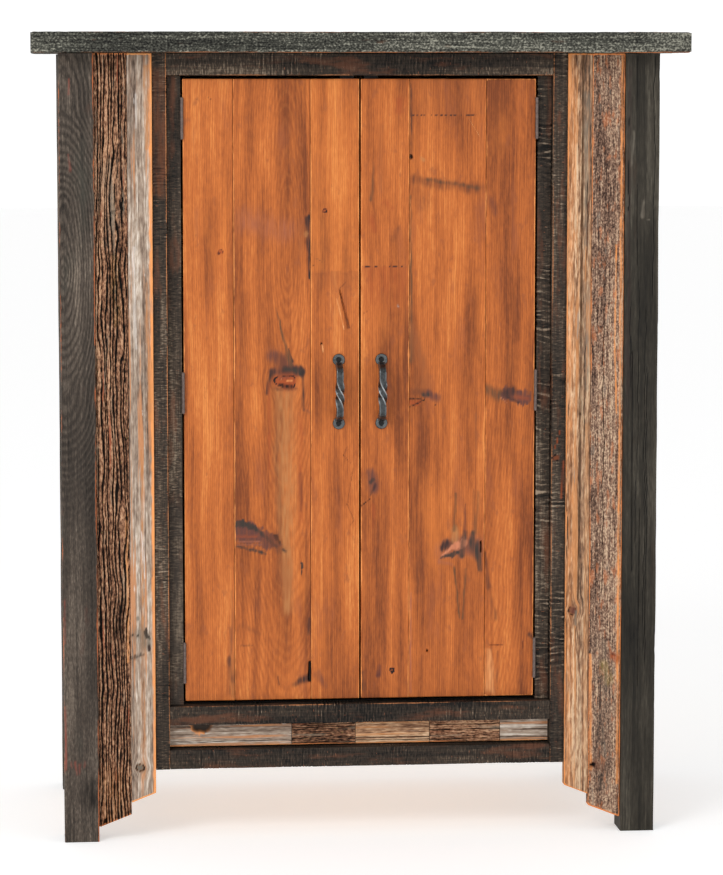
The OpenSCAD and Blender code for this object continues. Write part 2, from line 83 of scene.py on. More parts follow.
def setStudio(s):
    # the sky is white in a band at the horizon and dims towards straight up
    scene = bpy.context.scene
    camera = bpy.data.objects.new("camera", bpy.data.cameras.new("camera"))
    camera.data.lens, camera.data.sensor_width = s["lens"], s["sensor"]
    turn, tilt = math.radians(s["turn"]), math.radians(s["tilt"])
    ahead = Vector((math.sin(turn) * math.cos(tilt), math.cos(turn) * math.cos(tilt), -math.sin(tilt)))
    camera.matrix_world = Matrix.Translation(s["cameraAt"]) @ lookFrom((0, 0, 0), ahead)
    camera.data.clip_end = 100
    scene.collection.objects.link(camera)
    scene.camera = camera
    scene.view_settings.view_transform = "Standard"
    world = bpy.data.worlds.new("softWhite")
    world.use_nodes = True
    tree = world.node_tree
    height = splitVector(tree, tree.nodes.new("ShaderNodeTexCoord").outputs["Generated"])[2]
    glow = fade(tree, sums(tree, "ABSOLUTE", height), 0.2, 0.5, s["wallGlow"], s["ceilingGlow"])
    tree.nodes["Background"].inputs["Color"].default_value = (1, 1, 1, 1)
    plug(tree, glow, tree.nodes["Background"].inputs["Strength"])
    scene.world = world
    middle = (0, 0, 0.75)
    addAreaLight("keyLight", s["keyAt"], middle, s["keyPower"], s["lightSize"])
    addAreaLight("fillLight", s["fillAt"], middle, s["fillPower"], s["lightSize"])


# node helpers

def plug(tree, value, socket):
    # a socket is linked, a number or colour is set
    if isinstance(value, bpy.types.NodeSocket):
        tree.links.new(value, socket)
    elif isinstance(value, tuple) and len(value) == 3 and socket.type == "RGBA":
        socket.default_value = (*value, 1)
    else:
        socket.default_value = value


def startMaterial(name):
    material = bpy.data.materials.new(name)
    material.use_nodes = True
    tree = material.node_tree
    return material, tree, tree.nodes["Principled BSDF"]


def readAttribute(tree, name, output="Vector"):
    node = tree.nodes.new("ShaderNodeAttribute")
    node.attribute_name = name
    return node.outputs[output]


def objectPlace(tree):
    return tree.nodes.new("ShaderNodeTexCoord").outputs["Object"]


def splitVector(tree, vector):
    node = tree.nodes.new("ShaderNodeSeparateXYZ")
    plug(tree, vector, node.inputs[0])
    return node.outputs


def sums(tree, operation, a, b=0.0, clamp=False):
    node = tree.nodes.new("ShaderNodeMath")
    node.operation, node.use_clamp = operation, clamp
    plug(tree, a, node.inputs[0])
    plug(tree, b, node.inputs[1])
    return node.outputs[0]


def speckle(tree, vector, scale, detail=2.0, rough=0.55, warp=0.0):
    # noise whose cells are 1/scale metres along each axis
    stretch = tree.nodes.new("ShaderNodeVectorMath")
    stretch.operation = "MULTIPLY"
    plug(tree, vector, stretch.inputs[0])
    stretch.inputs[1].default_value = scale
    node = tree.nodes.new("ShaderNodeTexNoise")
    plug(tree, stretch.outputs[0], node.inputs["Vector"])
    node.inputs["Scale"].default_value = 1.0
    node.inputs["Detail"].default_value = detail
    node.inputs["Roughness"].default_value = rough
    node.inputs["Distortion"].default_value = warp
    return node.outputs["Fac"]


def fade(tree, value, low, high, toLow=0.0, toHigh=1.0):
    node = tree.nodes.new("ShaderNodeMapRange")
    node.interpolation_type = "SMOOTHSTEP"
    for socket, x in zip(node.inputs, (value, low, high, toLow, toHigh)):
        plug(tree, x, socket)
    return node.outputs[0]


def ramp(tree, value, stops):
    node = tree.nodes.new("ShaderNodeValToRGB")
    plug(tree, value, node.inputs[0])
    elements = node.color_ramp.elements
    while len(elements) < len(stops):
        elements.new(0.5)
    for element, (at, color) in zip(elements, stops):
        element.position, element.color = at, (*color, 1)
    return node.outputs["Color"]


def blend(tree, factor, a, b, mode="MIX"):
    node = tree.nodes.new("ShaderNodeMix")
    node.data_type, node.blend_type = "RGBA", mode
    plug(tree, factor, node.inputs[0])
    plug(tree, a, node.inputs[6])
    plug(tree, b, node.inputs[7])
    return node.outputs[2]


def addBump(tree, shader, height, strength, distance, normal=None):
    node = tree.nodes.new("ShaderNodeBump")
    plug(tree, height, node.inputs["Height"])
    node.inputs["Strength"].default_value = strength
    node.inputs["Distance"].default_value = distance
    if normal is not None:
        plug(tree, normal, node.inputs["Normal"])
    tree.links.new(node.outputs[0], shader.inputs["Normal"])
    return node.outputs[0]


def tint(r, g, b):
    # a colour given as 0 to 255 display values, made linear
    return tuple((x / 255 / 12.92) if x < 11 else ((x / 255 + 0.055) / 1.055) ** 2.4 for x in (r, g, b))


# wood finishes

# stops: wood from dark to light. fibre, streak, fleck and cloud: how far each noise shifts the shade.
# fleckSize: cells per metre across and along. groove: the hollows, painted shade in saw cuts. wear: rubbed
# edges, and painted highlights on the door planks' lit arrises. knot: rim and core.
# patches: cells per metre, from, to, colour, amount. ringLine, ringGlow: dark and light of the growth rings
finishes = {
    "charcoalTop": {
        "stops": [(0.12, tint(18, 18, 16)), (0.4, tint(54, 54, 48)), (0.62, tint(81, 81, 73)),
                  (0.9, tint(150, 148, 134))],
        "fibre": 0.9, "streak": 0.9, "fleck": 1.7, "fleckSize": (300, 230), "cloud": 0.9,
        "ringLine": 0.1, "ringGlow": 0.0, "ringSpacing": 0.006, "groove": tint(12, 12, 10),
        "wear": tint(158, 92, 48), "knot": (tint(20, 17, 14), tint(44, 33, 24)),
        "rough": 0.72, "shine": 0.16, "bump": 0.8,
        "patches": [((60, 10, 30), 0.63, 0.72, tint(96, 60, 38), 0.5)],
    },
    "charcoalPost": {
        "stops": [(0.15, tint(26, 22, 19)), (0.45, tint(66, 58, 51)), (0.6, tint(86, 76, 67)),
                  (0.9, tint(138, 124, 110))],
        "fibre": 0.6, "streak": 0.75, "fleck": 0.65, "fleckSize": (360, 110), "cloud": 0.8,
        "ringLine": 0.55, "ringGlow": 0.16, "ringSpacing": 0.0048, "groove": tint(24, 20, 17),
        "wear": tint(186, 104, 62), "knot": (tint(18, 14, 12), tint(48, 30, 20)),
        "rough": 0.66, "shine": 0.16, "bump": 0.6,
        "patches": [((22, 5, 20), 0.62, 0.74, tint(92, 54, 42), 0.5),
                    ((14, 3, 20), 0.55, 0.72, tint(72, 70, 62), 0.5)],
    },
    "charcoalPostDark": {
        "stops": [(0.15, tint(14, 12, 10)), (0.45, tint(43, 39, 32)), (0.6, tint(58, 53, 45)),
                  (0.9, tint(98, 92, 80))],
        "fibre": 0.45, "streak": 0.7, "fleck": 0.3, "fleckSize": (300, 60), "cloud": 0.9,
        "ringLine": 0.15, "ringGlow": 0.0, "ringSpacing": 0.005, "groove": tint(9, 8, 7),
        "wear": tint(120, 70, 42), "knot": (tint(14, 12, 10), tint(38, 26, 18)),
        "rough": 0.6, "shine": 0.18, "bump": 0.35,
        "patches": [((20, 4, 20), 0.58, 0.75, tint(64, 46, 34), 0.55)],
    },
    "ridgedBrown": {
        "stops": [(0.1, tint(40, 26, 20)), (0.4, tint(112, 77, 57)), (0.6, tint(150, 107, 80)),
                  (0.95, tint(200, 158, 124))],
        "fibre": 1.6, "streak": 1.0, "fleck": 1.8, "fleckSize": (360, 120), "cloud": 0.7,
        "ringLine": 0.0, "ringGlow": 0.0, "ringSpacing": 0.004, "groove": tint(15, 11, 8),
        "wear": tint(210, 130, 78), "knot": (tint(24, 16, 11), tint(80, 50, 30)),
        "rough": 0.9, "shine": 0.15, "bump": 1.0,
        "patches": [((260, 130, 90), 0.66, 0.7, tint(150, 140, 70), 0.6),
                    ((70, 6, 40), 0.54, 0.66, tint(134, 124, 108), 0.6),
                    ((110, 5, 40), 0.62, 0.68, tint(166, 88, 60), 0.6)],
    },
    "silverGrey": {
        "stops": [(0.12, tint(84, 68, 58)), (0.42, tint(146, 126, 110)), (0.62, tint(176, 156, 138)),
                  (0.9, tint(222, 210, 196))],
        "fibre": 0.9, "streak": 1.5, "fleck": 0.6, "fleckSize": (300, 60), "cloud": 0.6,
        "ringLine": 0.2, "ringGlow": 0.1, "ringSpacing": 0.005, "groove": tint(60, 46, 38),
        "wear": tint(232, 158, 98), "knot": (tint(52, 38, 28), tint(120, 84, 58)),
        "rough": 0.85, "shine": 0.2, "bump": 0.6,
        "patches": [((100, 2.4, 30), 0.53, 0.62, tint(200, 136, 90), 0.8),
                    ((220, 22, 60), 0.66, 0.72, tint(232, 226, 218), 0.6)],
    },
    "tanWeathered": {
        "stops": [(0.1, tint(64, 43, 30)), (0.42, tint(140, 102, 76)), (0.6, tint(178, 136, 102)),
                  (0.9, tint(224, 190, 154))],
        "fibre": 1.2, "streak": 1.6, "fleck": 1.1, "fleckSize": (340, 60), "cloud": 0.5,
        "ringLine": 0.2, "ringGlow": 0.0, "ringSpacing": 0.0045, "groove": tint(48, 33, 24),
        "wear": tint(224, 144, 84), "knot": (tint(40, 26, 18), tint(112, 66, 38)),
        "rough": 0.86, "shine": 0.2, "bump": 0.75,
        "patches": [((90, 2.6, 30), 0.53, 0.63, tint(208, 142, 90), 0.7),
                    ((120, 8, 60), 0.6, 0.7, tint(146, 140, 130), 0.6)],
    },
    "speckledBrown": {
        "stops": [(0.1, tint(54, 39, 33)), (0.4, tint(116, 89, 74)), (0.6, tint(148, 118, 98)),
                  (0.9, tint(206, 176, 146))],
        "fibre": 1.4, "streak": 1.0, "fleck": 1.7, "fleckSize": (400, 230), "cloud": 0.8,
        "ringLine": 0.0, "ringGlow": 0.0, "ringSpacing": 0.004, "groove": tint(40, 28, 22),
        "wear": tint(226, 138, 80), "knot": (tint(16, 12, 10), tint(150, 82, 50)),
        "rough": 0.9, "shine": 0.15, "bump": 1.0,
        "patches": [((110, 22, 90), 0.55, 0.64, tint(190, 114, 72), 0.5),
                    ((90, 12, 50), 0.6, 0.7, tint(146, 134, 120), 0.5)],
    },
    "sawnDark": {
        "stops": [(0.12, tint(14, 12, 10)), (0.45, tint(54, 45, 37)), (0.6, tint(74, 62, 51)),
                  (0.9, tint(150, 132, 112))],
        "fibre": 0.5, "streak": 0.5, "fleck": 0.9, "fleckSize": (120, 420), "cloud": 1.0,
        "ringLine": 0.0, "ringGlow": 0.0, "ringSpacing": 0.005, "groove": tint(14, 12, 10),
        "wear": tint(176, 116, 74), "knot": (tint(14, 11, 9), tint(44, 28, 20)),
        "rough": 0.68, "shine": 0.2, "bump": 0.8,
        "patches": [((34, 7, 30), 0.52, 0.68, tint(112, 68, 46), 0.5),
                    ((110, 320, 60), 0.64, 0.7, tint(160, 100, 70), 0.6)],
    },
    "orangePine": {
        "stops": [(0.1, tint(118, 58, 26)), (0.42, tint(171, 91, 40)), (0.6, tint(193, 106, 48)),
                  (0.92, tint(226, 141, 72))],
        "fibre": 0.35, "streak": 0.75, "fleck": 0.45, "fleckSize": (300, 60), "cloud": 1.3,
        "ringLine": 0.22, "ringGlow": 0.1, "ringSpacing": 0.0040, "groove": tint(40, 20, 10),
        # the wear colour also paints highlights where the door planks' front arrises catch the light
        "wear": tint(238, 150, 82), "knot": (tint(26, 16, 12), tint(126, 60, 32)),
        "rough": 0.5, "shine": 0.22, "bump": 0.14,
        "patches": [((16, 3, 10), 0.54, 0.74, tint(212, 120, 52), 0.4),
                    ((24, 5, 10), 0.56, 0.74, tint(150, 82, 50), 0.6),
                    ((320, 130, 30), 0.68, 0.74, tint(96, 46, 26), 0.6),
                    ((60, 26, 30), 0.58, 0.7, tint(146, 80, 46), 0.5)],
    },
    "plainPine": {
        "stops": [(0.1, tint(160, 114, 70)), (0.42, tint(196, 152, 102)), (0.6, tint(208, 168, 118)),
                  (0.9, tint(228, 196, 150))],
        "fibre": 0.5, "streak": 0.8, "fleck": 0.3, "fleckSize": (300, 40), "cloud": 0.5,
        "ringLine": 0.3, "ringGlow": 0.0, "ringSpacing": 0.006, "groove": tint(90, 60, 34),
        "wear": tint(222, 186, 138), "knot": (tint(86, 50, 26), tint(150, 96, 54)),
        "rough": 0.6, "shine": 0.25, "bump": 0.3,
        "patches": [((12, 2, 8), 0.56, 0.78, tint(186, 140, 90), 0.5)],
    },
}


# cells per metre, across and along
grainCells = {"fibre": (760, 26, 1), "streak": (190, 3.2, 1), "cloud": (26, 2.6, 1)}


def woodMaterial(name, look):
    # shade = a half plus each noise times its share plus the painted tone. The colour is the stops at that
    # shade, with ring lines, patches, stains, rubbed edges and painted arris highlights, hollows (painted
    # shade in saw cuts) and knots laid over it in turn
    material, tree, shader = startMaterial(name)
    grain = readAttribute(tree, "grain")
    groove, worn, knotted = splitVector(tree, readAttribute(tree, "marks"))
    fibre = speckle(tree, grain, grainCells["fibre"], 3, 0.6)
    streak = speckle(tree, grain, grainCells["streak"], 4, 0.62, 0.3)
    fleck = speckle(tree, grain, (*look["fleckSize"], 1), 2, 0.6)
    cloud = speckle(tree, grain, grainCells["cloud"], 2)
    shade = sums(tree, "ADD", readAttribute(tree, "tone", "Fac"), 0.5)
    for pattern, share in ((fibre, "fibre"), (streak, "streak"), (fleck, "fleck"), (cloud, "cloud")):
        shade = addScaled(tree, shade, sums(tree, "SUBTRACT", pattern, 0.5), look[share])
    color = ramp(tree, shade, look["stops"])
    wave = sums(tree, "COSINE", sums(tree, "MULTIPLY", readAttribute(tree, "ring", "Fac"),
                                     2 * math.pi / look["ringSpacing"]))
    uneven = fade(tree, streak, 0.3, 0.65, 0.3, 1.0)
    show = sums(tree, "MULTIPLY", readAttribute(tree, "ringShow", "Fac"), uneven)
    line = sums(tree, "MULTIPLY", fade(tree, wave, 0.0, 0.9), show)
    glow = sums(tree, "MULTIPLY", fade(tree, wave, -0.3, -1.0), show)
    color = blend(tree, sums(tree, "MULTIPLY", line, look["ringLine"]), color, look["stops"][0][1])
    color = blend(tree, sums(tree, "MULTIPLY", glow, look["ringGlow"]), color, look["stops"][3][1])
    for scale, low, high, patchColor, amount in look["patches"]:
        spot = fade(tree, speckle(tree, grain, scale, 4, 0.6), low, high, 0.0, amount)
        color = blend(tree, spot, color, patchColor)
    ragged = sums(tree, "MULTIPLY", sums(tree, "SUBTRACT", streak, 0.5), 0.9)
    stain = readAttribute(tree, "stain", "Alpha")
    cover = fade(tree, sums(tree, "MULTIPLY", stain, sums(tree, "ADD", ragged, 1.0)), 0.0, 1.0)
    color = blend(tree, cover, color, readAttribute(tree, "stain", "Color"))
    spotty = sums(tree, "MULTIPLY", sums(tree, "SUBTRACT", fleck, 0.5), 0.7)
    # rubbed edges take the wear colour; on the door planks the worn corners are painted highlights where the
    # arrises catch the light
    color = blend(tree, fade(tree, sums(tree, "ADD", worn, spotty), 0.3, 0.75), color, look["wear"])
    # hollows take the groove colour; in saw cuts this is painted shade
    color = blend(tree, fade(tree, groove, 0.15, 0.9), color, look["groove"])
    rim, core = look["knot"]
    knot = sums(tree, "ADD", knotted, sums(tree, "MULTIPLY", spotty, 0.4))
    color = blend(tree, fade(tree, knot, 0.12, 0.5, 0.0, 0.85), color, core)
    color = blend(tree, fade(tree, knot, 0.42, 0.66), color, rim)
    plug(tree, color, shader.inputs["Base Color"])
    roughness = fade(tree, streak, 0.2, 0.8, look["rough"] - 0.08, look["rough"] + 0.08)
    plug(tree, roughness, shader.inputs["Roughness"])
    relief = addScaled(tree, sums(tree, "MULTIPLY", fibre, 0.4), streak, 0.3)
    relief = addScaled(tree, relief, fleck, 0.2 * min(look["fleck"], 2))
    relief = addScaled(tree, relief, line, -0.6 * look["ringLine"])
    addBump(tree, shader, relief, look["bump"], 0.0014)
    shader.inputs["Specular IOR Level"].default_value = look["shine"]
    return material


def addScaled(tree, base, value, amount):
    node = sums(tree, "MULTIPLY_ADD", value, amount)
    plug(tree, base, node.node.inputs[2])
    return node


def endMaterial(name, look):
    # sawn ends: shade = half the fine spots plus 0.4 of the patches, both on the piece's own place
    material, tree, shader = startMaterial(name)
    place = objectPlace(tree)
    spots = speckle(tree, place, (420, 420, 420), 3, 0.6)
    patches = speckle(tree, place, (60, 60, 60), 3)
    spotShare = sums(tree, "MULTIPLY", spots, 0.5)
    shade = sums(tree, "ADD", spotShare, sums(tree, "MULTIPLY", patches, 0.4), clamp=True)
    dark, middle = look["stops"][0][1], look["stops"][1][1]
    color = ramp(tree, shade, [(0.25, look["groove"]), (0.5, dark), (0.8, middle)])
    plug(tree, color, shader.inputs["Base Color"])
    shader.inputs["Roughness"].default_value = 0.85
    addBump(tree, shader, spots, 0.6, 0.001)
    return material


woodMaterials = {}
for name, look in finishes.items():
    woodMaterials[name] = (woodMaterial(name, look), endMaterial(name + "End", look))
print("wood finishes made:", len(woodMaterials))


# numpy patterns

primes = {
    "across": 374761393, "along": 668265263, "seed": 974634777, "first": 2246822519, "second": 3266489917,
}
lowBits = np.uint64(0xFFFFFFFF)


def hashed(ix, iy, seed):
    # a repeatable value from 0 to 1 for each whole-number pair: the pair and the seed times primes, added,
    # then twice shifted onto themselves and multiplied, keeping 32 bits
    across = ix.astype(np.int64).astype(np.uint64) * np.uint64(primes["across"])
    along = iy.astype(np.int64).astype(np.uint64) * np.uint64(primes["along"])
    h = (across + along + np.uint64(int(seed) * primes["seed"] & 0xFFFFFFFF)) & lowBits
    h = ((h ^ (h >> np.uint64(15))) * np.uint64(primes["first"])) & lowBits
    h = ((h ^ (h >> np.uint64(13))) * np.uint64(primes["second"])) & lowBits
    return (h ^ (h >> np.uint64(16))).astype(float) / float(lowBits)


def noise(x, y, seed):
    # -1 to 1: the values at a unit grid's corners, blended by smooth steps across each cell
    x, y = np.broadcast_arrays(np.asarray(x, float), np.asarray(y, float))
    ix, iy = np.floor(x), np.floor(y)
    u, v = x - ix, y - iy
    u, v = u * u * (3 - 2 * u), v * v * (3 - 2 * v)
    low = hashed(ix, iy, seed) * (1 - u) + hashed(ix + 1, iy, seed) * u
    high = hashed(ix, iy + 1, seed) * (1 - u) + hashed(ix + 1, iy + 1, seed) * u
    return 2 * (low * (1 - v) + high * v) - 1


def layered(x, y, seed, layers=3):
    # noise plus half as much at twice the pitch, and so on
    total = sum(noise(x * 2 ** i, y * 2 ** i, seed + 17 * i) / 2 ** i for i in range(layers))
    return total / (2 - 2 ** (1 - layers))


def step(value, low, high):
    # 0 below low, 1 above high, smooth between
    t = np.clip((value - low) / (high - low), 0, 1)
    return t * t * (3 - 2 * t)


# boards

def spaced(length, pitch, ease):
    # distances from 0 to just short of length: evenly pitched, and closer together near both ends
    zone = np.array([0, 0.2, 0.5, 1.0]) * ease
    middle = np.linspace(ease, length - ease, max(2, math.ceil((length - 2 * ease) / pitch)))
    return np.concatenate([zone[:-1], middle, length - zone[-2:0:-1]])


# for a board along each axis: the world axes of its section and run, and its sides' outward faces in order
runs = {
    "z": ((0, 1, 2), ("+y", "-x", "-y", "+x")),
    "x": ((1, 2, 0), ("+y", "+z", "-y", "-z")),
    "y": ((2, 0, 1), ("+z", "+x", "-z", "-x")),
}
# where each of those sides starts: low or high on the section's two axes
sideCorners = {"z": ("hh", "lh", "ll", "hl"), "x": ("hl", "hh", "lh", "ll"), "y": ("hl", "hh", "lh", "ll")}


def sectionPoints(low, high, along, pitches, ease):
    # the outline from a back corner: its points, their distance round, and the corners' distances
    (b, c, _), faces = runs[along]
    pick = {"l": low, "h": high}
    corners = [np.array([pick[k[0]][b], pick[k[1]][c]]) for k in sideCorners[along]]
    points, distances, marks, total = [], [], [], 0.0
    for i, face in enumerate(faces):
        start, end = corners[i], corners[(i + 1) % 4]
        length = np.linalg.norm(end - start)
        t = spaced(length, pitches.get(face, pitches["other"]), min(ease, length / 3))
        points.append(start + (end - start) * (t / length)[:, None])
        distances.append(total + t)
        marks.append(total)
        total += length
    return np.concatenate(points), np.concatenate(distances), np.array(marks), total


def boardGrid(low, high, along, pitches, ease, endEase, seed, foot=None):
    # rings of section points at stations along the board
    (b, c, a), _ = runs[along]
    points, around, marks, total = sectionPoints(low, high, along, pitches, ease)
    length = high[a] - low[a]
    stations = np.append(spaced(length, pitches["along"], endEase), length)
    share = (stations / length)[:, None]
    start = np.full(len(points), low[a]) if foot is None else foot(points[:, 0])
    alongAt = start[None, :] + share * (high[a] - start[None, :])
    gap = np.abs(around[:, None] - np.append(marks, total)[None, :])
    shape = alongAt.shape
    return {
        "points": points, "s": np.broadcast_to(around, shape), "a": alongAt,
        "edge": np.broadcast_to(gap.min(1), shape), "corner": gap.argmin(1) % 4,
        "fromEnd": np.minimum(stations, length - stations)[:, None], "seed": seed,
        "low": np.array([low[b], low[c]]), "high": np.array([high[b], high[c]]),
        "axes": (b, c, a), "middle": total / 2,
    }


def worldOf(grid, section):
    out = np.empty(grid["a"].shape + (3,))
    b, c, a = grid["axes"]
    out[..., b], out[..., c], out[..., a] = section[..., 0], section[..., 1], grid["a"]
    return out


def roundSection(grid, ease, endEase, chip):
    # each point goes to the nearest point of a rounding, whose radius wanders and grows at chips
    a, corner, seed = grid["a"], grid["corner"], grid["seed"]
    chips = chip * step(layered(a / 0.035, corner * 3.1, seed + 6), 0.25, 0.8)
    wander = 0.75 + 0.35 * noise(a / 0.06, corner * 7.3, seed + 5) + chips
    radius = (ease * np.clip(wander, 0.35, 3.0))[..., None]
    points = np.broadcast_to(grid["points"], a.shape + (2,))
    middle = np.clip(points, grid["low"] + radius, grid["high"] - radius)
    away = points - middle
    outward = away / np.maximum(np.linalg.norm(away, axis=-1, keepdims=True), 1e-9)
    t = np.clip(grid["fromEnd"] / endEase, 0, 1)
    inset = endEase * (1 - np.sqrt(np.clip(1 - (1 - t) ** 2, 0, 1)))
    return middle + outward * (radius - np.minimum(inset[..., None], radius * 0.8)), outward


# reliefs are in metres. ridges: depth, pitch, sway. crumble: depth. saw: depth, pitch, and the strength of the
# painted highlights and shade along the cuts. ring: depth.
# heart: the rings' centre from the front's left or upper edge, their slant, and where they peak.
# worn: extra wear on a corner, counted from a back corner; on the door planks it is a painted highlight on the
# lit arrises. ringShow: where the rings fade in
plainRelief = {
    "ridges": (0.0, 0.008, 0.0), "crumble": 0.0, "saw": (0.0, 0.005, 0.0), "ring": 0.0, "dent": (0.0003, 0.05),
    "cracks": 0, "bend": 0.003, "heart": (0.01, 0.03, 0.0), "wave": 0.0, "ringShow": (-2.0, -1.0),
    "wear": 0.6, "worn": {}, "endWear": 0.0, "rubbed": 0.0, "toneNoise": 0.1, "shift": 0.0, "marks": [],
}
# rubbed edges, and the painted arris highlights on the doors, show this far in
edgeWidth = 0.004               # rubbed edges show this far in


stains = {
    "black": tint(12, 9, 8), "sootAndShade": tint(50, 34, 32), "plum": tint(88, 46, 40),
    "bark": tint(108, 58, 34), "rust": tint(160, 74, 34), "umber": tint(150, 84, 44),
    "straw": tint(218, 128, 58), "greyTan": tint(182, 122, 72), "pink": tint(206, 128, 92),
    "slate": tint(92, 64, 42), "pale": tint(236, 164, 104), "glow": tint(240, 156, 92),
    "lichen": tint(176, 150, 52), "redRub": tint(168, 78, 62), "ash": tint(168, 160, 150),
    "chalk": tint(232, 226, 220), "mist": tint(112, 104, 92), "haze": tint(158, 92, 66),
    "ink": tint(56, 48, 42), "liver": tint(98, 58, 50),
}


def paintMarks(world, look, faceDepth, seed):
    # each mark is a line between two points with a width at each end: distance from the line over the width
    # there, warped by noise as wide as the mark, gives how strongly it shows. A spot's edge is broken by grit,
    # a knot is a ring with splits inside and a halo, and a later mark lies over the earlier ones
    shape = world.shape[:2]
    x, z = world[..., 0], world[..., 2]
    color, cover = np.zeros(shape + (3,)), np.zeros(shape)
    knot, dip, bend = np.zeros(shape), np.zeros(shape), np.zeros(shape)
    near = step(0.009 - np.abs(world[..., 1] - faceDepth), 0, 0.004)
    fine = noise(x / 0.0022, z / 0.020, seed + 31)
    grit = noise(x / 0.0034, z / 0.0055, seed + 32)
    for kind, x0, z0, x1, z1, w0, w1, name, amount in look["marks"]:
        widest = max(w0, w1)
        sway = min(0.45 * widest, 0.006) if kind in ("stain", "spot") else min(0.22 * widest, 0.002)
        u = x + sway * layered(x / (1.6 * widest), z / (3.5 * widest), seed + 51)
        v = z + 1.5 * sway * layered(x / (1.6 * widest), z / (3.5 * widest), seed + 52)
        run = max((x1 - x0) ** 2 + (z1 - z0) ** 2, 1e-10)
        t = np.clip(((u - x0) * (x1 - x0) + (v - z0) * (z1 - z0)) / run, 0, 1)
        away = np.hypot(u - x0 - t * (x1 - x0), v - z0 - t * (z1 - z0)) / (w0 + (w1 - w0) * t)
        if kind == "block":
            down = (v - z0) * np.sign(z1 - z0)
            mask = step(down, -0.001, 0.001) * (1 - step(down, 0.1 * abs(z1 - z0), abs(z1 - z0)))
            mask = mask * (0.85 + 0.35 * fine)
        elif kind == "knot":
            turn = np.arctan2(v - (z0 + z1) / 2, u - (x0 + x1) / 2)
            away = away * (1 + 0.3 * noise(np.cos(turn) * 1.6, np.sin(turn) * 1.6, seed + 56))
            thick = 0.0013 * (1 + 0.8 * noise(turn * 1.5, 0 * away, seed + 55))
            rim = step(thick - np.abs(away - 1.0) * (w0 + (w1 - w0) * t), -0.0006, 0.0005)
            rings = 0.5 + 0.5 * np.cos(away * 9 + 2 * layered(turn, away * 2, seed + 53))
            split = step(noise(turn * 2.2, away * 0.6, seed + 54), 0.45, 0.75) * step(away, 0.15, 0.4)
            body = step(1.1 - away, 0, 0.15)
            inner = body * np.maximum(0.3 * rings, 0.5 * split)
            knot = np.maximum(knot, near * amount * np.maximum(0.8 * rim, inner))
            dip += 0.0007 * near * np.maximum(rim, split * body)
            bend -= (x - x0 - t * (x1 - x0)) * 0.8 * np.exp(-(away / 2.4) ** 2)
            mask = np.maximum(step(1.2 - away, 0, 0.3), 0.4 * step(2.1 - away, 0, 1.0))
        elif kind == "spot":
            mask = step(1.2 - away + 0.45 * grit, 0, 0.7) * (0.85 + 0.3 * fine)
        elif kind == "row":
            mask = step(1.2 - away, 0, 0.6) * step(noise(x / 0.0028, 0 * z, seed + 41), -0.3, 0.2)
        elif kind in ("crack", "hole"):
            mask = step(1.35 - away, 0, 0.8) * (1.0 if kind == "hole" else 0.8 + 0.4 * fine)
            depth = 0.005 if kind == "hole" else min(1.2 * widest, 0.004)
            dip += depth * near * step(1.1 - away, 0, 0.5)
        else:
            mask = step(1.5 - away, 0, 1.35) * (0.85 + 0.4 * fine)
        lay = np.clip(amount * mask * near, 0, 1)
        total = lay + cover * (1 - lay)
        share = (lay / np.maximum(total, 1e-6))[..., None]
        if kind != "knot":
            knot = knot * (1 - lay)
        color = np.array(stains[name]) * share + color * (1 - share)
        cover = total
    return {"stain": np.concatenate([color, cover[..., None]], -1), "knot": knot, "dip": dip, "bend": bend}


